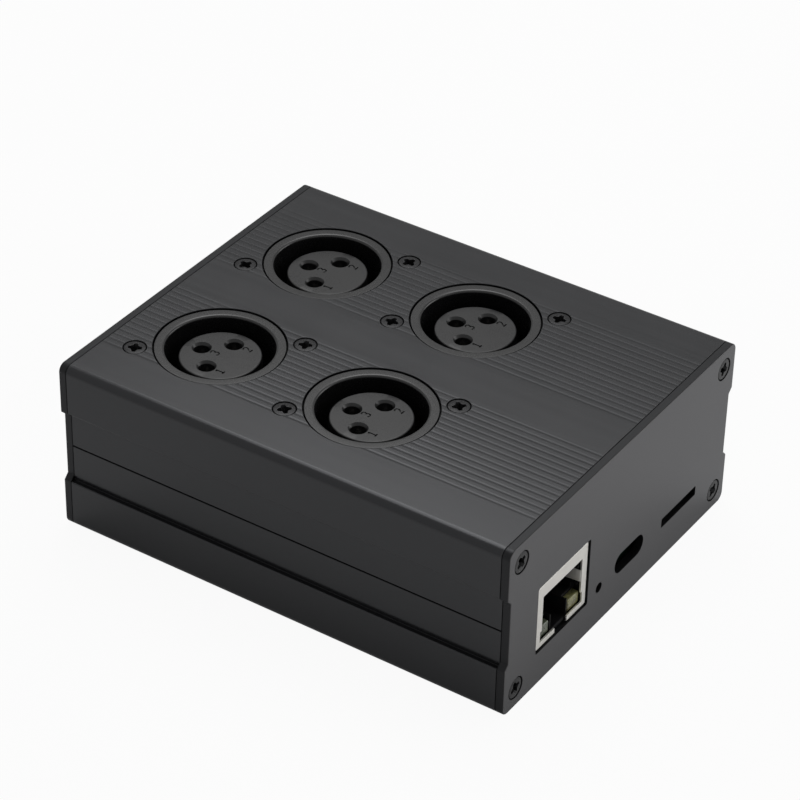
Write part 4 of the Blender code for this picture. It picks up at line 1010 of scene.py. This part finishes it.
def contact_mesh():
    """Slotted sleeve with an eased mouth, on its solder tail."""
    lip_low = CONTACT_TOP - CONTACT_LIP
    profile = [
        (0, TAIL_LOW),
        (TAIL_RADIUS, TAIL_LOW),
        (TAIL_RADIUS, CONTACT_LOW),
        (CONTACT_RADIUS, CONTACT_LOW),
        (CONTACT_RADIUS, lip_low),
        (CONTACT_RADIUS - CONTACT_LIP, CONTACT_TOP),
        (CONTACT_BORE + CONTACT_LIP, CONTACT_TOP),
        (CONTACT_BORE, lip_low),
        (CONTACT_BORE, CONTACT_FLOOR),
        (0, CONTACT_FLOOR),
    ]
    reach = CONTACT_RADIUS + PAST
    slot = block(
        (-reach, -CONTACT_SLOT_HALF, CONTACT_SLOT_LOW),
        (reach, CONTACT_SLOT_HALF, CONTACT_TOP + PAST),
    )
    return cut(turned(profile, CONTACT_FACETS), slot)


def sockets():
    """The four sockets: housing, insert and three contacts each."""
    housing, insert, contact = housing_mesh(), insert_mesh(), contact_mesh()
    for number, (x, y) in SOCKETS.items():
        place = Matrix.Translation((x, y, 0))
        name = f"xlr_{number}_"
        ring, face = moved(housing.copy(), place), moved(insert.copy(), place)
        piece(name + "ring", ring, name + "housing", "socket_plastic")
        piece(name + "face", face, name + "insert", "insert_plastic")
        for pole, (dx, dy) in enumerate(CONTACT_PLACES, 1):
            sleeve = moved(contact.copy(), place @ Matrix.Translation((dx, dy, 0)))
            piece(f"{name}sleeve_{pole}", sleeve, f"{name}contact_{pole}", "contact_metal")


# Ports


def jack_block(depth, side, near, far, low, high):
    """Block from behind the body's front to ahead of it, between two distances from its middle."""
    y0, y1 = sorted((JACK_Y + side * near, JACK_Y + side * far))
    return block((CORE_FRONT - depth, y0, low), (JACK_FRONT + PAST, y1, high))


def jack_shell_mesh():
    """Folded sheet front and shield, with a sprung leaf at each side of the window."""
    corner = (JACK_CORNER, JACK_CORNER_FACETS)
    outline = rounded_rectangle(2 * JACK_HALF, JACK_HEIGHT, *corner, JACK_CENTRE)
    mesh = rounded_prism(outline, JACK_REAR, JACK_FRONT, JACK_FRONT_ROUND, EASE_FACETS)
    half = JACK_HALF - SHEET
    hollow = block(
        (JACK_REAR + SHEET, JACK_Y - half, SEAT - PAST),
        (JACK_FRONT - SHEET, JACK_Y + half, JACK_TOP - SHEET),
    )
    size = (2 * WINDOW_HALF, WINDOW_TOP - WINDOW_LOW)
    window = rounded_rectangle(*size, WINDOW_CORNER, EASE_FACETS, (JACK_Y, WINDOW_MIDDLE))
    back, ahead = JACK_FRONT - PAST, JACK_FRONT + PAST
    mesh = cut(
        mesh,
        hollow,
        prism(window, back, ahead, "X"),
        block((back, JACK_Y - NOTCH_HALF, WINDOW_LOW), (ahead, JACK_Y + NOTCH_HALF, LAMP_TOP)),
        block(
            (back, JACK_Y - SILL_GAP_HALF, SEAT - PAST),
            (ahead, JACK_Y + SILL_GAP_HALF, WINDOW_LOW + PAST / 2),
        ),
    )
    parts = [softened(mesh, JACK_SHEET_EASE, segments=1)]
    for side in (-1, 1):
        edge = JACK_Y + side * WINDOW_HALF
        path = [(JACK_FRONT - behind * MM, edge - side * lean * MM) for behind, lean in LEAF_PATH]
        parts.append(prism(stroke(path, LEAF_SHEET), LEAF_LOW, LEAF_TOP))
    return together(parts)


def jack_core_mesh():
    """Plastic body with rooms for the plug, its latch, the lamps and the leaves."""
    half = JACK_HALF - SHEET - FIT
    body = block(
        (JACK_REAR + SHEET + FIT, JACK_Y - half, SEAT),
        (CORE_FRONT, JACK_Y + half, JACK_TOP - SHEET - FIT),
    )
    plug_depth, plug_half, plug_height = PLUG_ROOM
    latch_depth, latch_half = LATCH_ROOM
    leaf_depth, leaf_in, leaf_out = LEAF_ROOM
    plug_floor = WINDOW_TOP - plug_height
    over = plug_floor + PAST
    lamp = (LAMP_SIDES[0] - FIT, LAMP_SIDES[1] + FIT)
    leaf = (WINDOW_HALF - leaf_in, WINDOW_HALF + leaf_out)
    tools = [
        jack_block(plug_depth, 1, -plug_half, plug_half, plug_floor, WINDOW_TOP),
        jack_block(latch_depth, 1, -latch_half, latch_half, LAMP_LOW, over),
    ]
    for side in (-1, 1):
        room = (LAMP_LOW - FIT, LAMP_TOP + LAMP_HEADROOM)
        tools.append(jack_block(LAMP_DEPTH + FIT, side, *lamp, *room))
        tools.append(jack_block(LAMP_ROOF_BACK, side, *lamp, LAMP_LOW, over))
        tools.append(jack_block(leaf_depth, side, *leaf, LEAF_LOW - FIT, LEAF_TOP + FIT))
    return softened(cut(body, *tools), CORE_EASE, segments=1)


def jack():
    """The network jack: shield, body, sprung wires and the two lamps."""
    piece("jack_front", jack_shell_mesh(), "jack_shield", "shield_metal")
    piece("jack_core", jack_core_mesh(), "jack_body", "jack_plastic")
    wires = []
    path = [(CORE_FRONT - behind * MM, WINDOW_TOP + rise * MM) for behind, rise in WIRE_PATH]
    for i in range(WIRES):
        wire = prism(stroke(path, WIRE_THICKNESS), -WIRE_HALF, WIRE_HALF)
        y = JACK_Y + (i - (WIRES - 1) / 2) * WIRE_PITCH
        upright = Matrix.Rotation(math.pi / 2, 4, "X")
        wires.append(moved(wire, upright, Matrix.Translation((0, y, 0))))
    gilded("jack_wires", wires)
    for side, name, slot in ((-1, "left", "lamp_green"), (1, "right", "lamp_yellow")):
        y0, y1 = sorted(JACK_Y + side * at for at in LAMP_SIDES)
        lens = block((CORE_FRONT - LAMP_DEPTH, y0, LAMP_LOW), (CORE_FRONT, y1, LAMP_TOP))
        name = "jack_lamp_" + name
        piece(name + "_lens", softened(lens, LAMP_ROUND, segments=4), name, slot)


def usb():
    """Drawn oval shell with a rolled lip, and the tongue with its pads."""
    y, z = USB_CENTRE
    width, height = USB_SIZE
    outline = obround(width, height, USB_FACETS, USB_CENTRE)
    drawn = rounded_prism(outline, USB_REAR, USB_FRONT, USB_LIP, USB_LIP_FACETS)
    bore = obround(width - 2 * USB_WALL, height - 2 * USB_WALL, USB_FACETS, USB_CENTRE)
    shell = cut(drawn, prism(bore, USB_REAR + USB_WALL, USB_FRONT + PAST, "X"))
    piece("usb_shroud", shell, "usb_shell", "shield_metal")
    inset = USB_WALL + FIT
    outline = obround(width - 2 * inset, height - 2 * inset, BLADE_ROOT_FACETS, USB_CENTRE)
    root = prism(outline, USB_REAR + inset, USB_REAR + BLADE_ROOT, "X")
    tip, thick = USB_FRONT - FIT, BLADE_HALF_THICKNESS
    blade = block(
        (USB_REAR + BLADE_BACK, y - BLADE_HALF, z - thick),
        (tip, y + BLADE_HALF, z + thick),
    )
    tongue = softened(together([root, blade]), BLADE_EASE, segments=2)
    piece("usb_blade", tongue, "usb_tongue", "jack_plastic")
    back, ahead = (tip - end for end in PAD_ENDS)
    pads = []
    for face in (z - thick, z + thick):
        for i in range(PADS):
            at = y + (i - (PADS - 1) / 2) * PAD_PITCH
            low = (back, at - PAD_HALF, face - PAD_PROUD)
            pads.append(block(low, (ahead, at + PAD_HALF, face + PAD_PROUD)))
    gilded("usb_pads", pads)


# Solids that keep their own shape


def dress_nodes():
    """Finishes by the names of the slots that the solids already have."""
    for node in frame["nodes"].values():
        if node.hide_render:
            continue
        for holder in node.material_slots:
            holder.material = FINISHES[holder.material.name.split(".")[0]]


# Setting

# Share of plain white that the floor shows to the camera, and to gloss and glass
FLOOR_GLOW = 0.94
FLOOR_GLOSS_GLOW = 0.12
FLOOR_RADIUS = 2.0
FLOOR_SIDES = 96
FLOOR_TONES = ((0.84, 0.84, 0.84), (0.86, 0.86, 0.86))
FLOOR_ROUGHNESS = 0.85

# Soft panels: azimuth and height above the floor in degrees, size in metres, power in watts
PANELS = (
    (225, 74, 0.6, 1.26),
    (180, 74, 0.6, 1.32),
    (135, 16, 0.5, 1.02),
    (112.5, 45, 0.5, 0.24),
    (222, 48, 0.22, 0.255),
    (206, 48, 0.22, 0.135),
)
PANEL_DISTANCE = 0.8

# What the world gives to soft light, and how strong gloss, glass and the camera see it
WORLD_SOFT = 0.22
WORLD_SEEN = (("Is Glossy Ray", 0.5), ("Is Transmission Ray", 0.5), ("Is Camera Ray", 1.0))

# The photograph's camera: degrees round from the front, above the floor and tilted, place in
# metres, and lens in millimetres
VIEW_AZIMUTH = 33.0778
VIEW_ELEVATION = 35.2590
VIEW_TILT = 1.3126
VIEW_PLACE = (0.25486, -0.39108, 0.35479)
FOCAL_LENGTH = 143.480
SENSOR_WIDTH = 36
CLIP = (0.01, 10)


def outward(azimuth, elevation):
    """Unit vector towards a place so many degrees round from the front and above the floor."""
    a, e = math.radians(azimuth), math.radians(elevation)
    return Vector((math.sin(a) * math.cos(e), -math.cos(a) * math.cos(e), math.sin(e)))


def floor():
    """Pale floor that runs on into the backdrop, kept light where the camera sees it."""
    shape = bmesh.new()
    bmesh.ops.create_circle(shape, cap_ends=True, segments=FLOOR_SIDES, radius=FLOOR_RADIUS)
    mesh = bpy.data.meshes.new("floor")
    shape.to_mesh(mesh)
    shape.free()
    n = Nodes("floor_white")
    tone = n.mixed(n.varied(n.noise(25, 2.0), 0.0, 1.0), *FLOOR_TONES)
    mesh.materials.append(n.finish(tone, FLOOR_ROUGHNESS, 0.0, Specular_IOR_Level=0.1))
    glow = n.add("ShaderNodeEmission")
    glow.inputs["Strength"].default_value = 1.0
    path = n.add("ShaderNodeLightPath")
    gloss = n.maths("MAXIMUM", path.outputs["Is Glossy Ray"], path.outputs["Is Transmission Ray"])
    seen = n.times(path.outputs["Is Camera Ray"], FLOOR_GLOW)
    lifted = n.add("ShaderNodeMixShader")
    n.link(n.plus(seen, n.times(gloss, FLOOR_GLOSS_GLOW)), lifted.inputs["Fac"])
    n.link(n.shader.outputs["BSDF"], lifted.inputs[1])
    n.link(glow.outputs["Emission"], lifted.inputs[2])
    n.link(lifted.outputs["Shader"], n.tree.nodes["Material Output"].inputs["Surface"])
    placed("floor", mesh)


def panels():
    """Soft round lamps that face the box."""
    for number, (azimuth, elevation, size, power) in enumerate(PANELS):
        back = outward(azimuth, elevation)
        light = bpy.data.lights.new(f"panel_{number}", "AREA")
        light.shape = "DISK"
        light.size = size
        light.energy = power
        obj = placed(f"panel_{number}", light)
        obj.location = back * PANEL_DISTANCE
        obj.rotation_mode = "QUATERNION"
        obj.rotation_quaternion = (-back).to_track_quat("-Z", "Y")


def world():
    """White surroundings, of a strength for each kind of ray."""
    made = bpy.data.worlds.new("studio")
    bpy.context.scene.world = made
    made.use_nodes = True
    tree = made.node_tree
    path = tree.nodes.new("ShaderNodeLightPath")
    shown = tree.nodes["Background"]
    shown.inputs["Color"].default_value = (1, 1, 1, 1)
    shown.inputs["Strength"].default_value = WORLD_SOFT
    for ray, strength in WORLD_SEEN:
        seen = tree.nodes.new("ShaderNodeBackground")
        seen.inputs["Color"].default_value = (1, 1, 1, 1)
        seen.inputs["Strength"].default_value = strength
        choose = tree.nodes.new("ShaderNodeMixShader")
        tree.links.new(path.outputs[ray], choose.inputs["Fac"])
        tree.links.new(shown.outputs[0], choose.inputs[1])
        tree.links.new(seen.outputs["Background"], choose.inputs[2])
        shown = choose
    tree.links.new(shown.outputs[0], tree.nodes["World Output"].inputs["Surface"])


def camera():
    """A camera that looks down on the box as the photograph's does."""
    azimuth, tilt = math.radians(VIEW_AZIMUTH), math.radians(VIEW_TILT)
    back = outward(VIEW_AZIMUTH, VIEW_ELEVATION)
    right = Vector((math.cos(azimuth), math.sin(azimuth), 0))
    up = back.cross(right)
    tilted_right = right * math.cos(tilt) + up * math.sin(tilt)
    tilted_up = up * math.cos(tilt) - right * math.sin(tilt)
    data = bpy.data.cameras.new("camera")
    data.sensor_width = SENSOR_WIDTH
    data.lens = FOCAL_LENGTH
    data.clip_start, data.clip_end = CLIP
    obj = placed("camera", data)
    rotation = Matrix((tilted_right, tilted_up, back)).transposed().to_4x4()
    obj.matrix_world = Matrix.Translation(VIEW_PLACE) @ rotation
    bpy.context.scene.camera = obj


camera()
shells()
plates()
screws()
sockets()
jack()
usb()
dress_nodes()
floor()
panels()
world()
bpy.context.scene.view_settings.view_transform = "Standard"
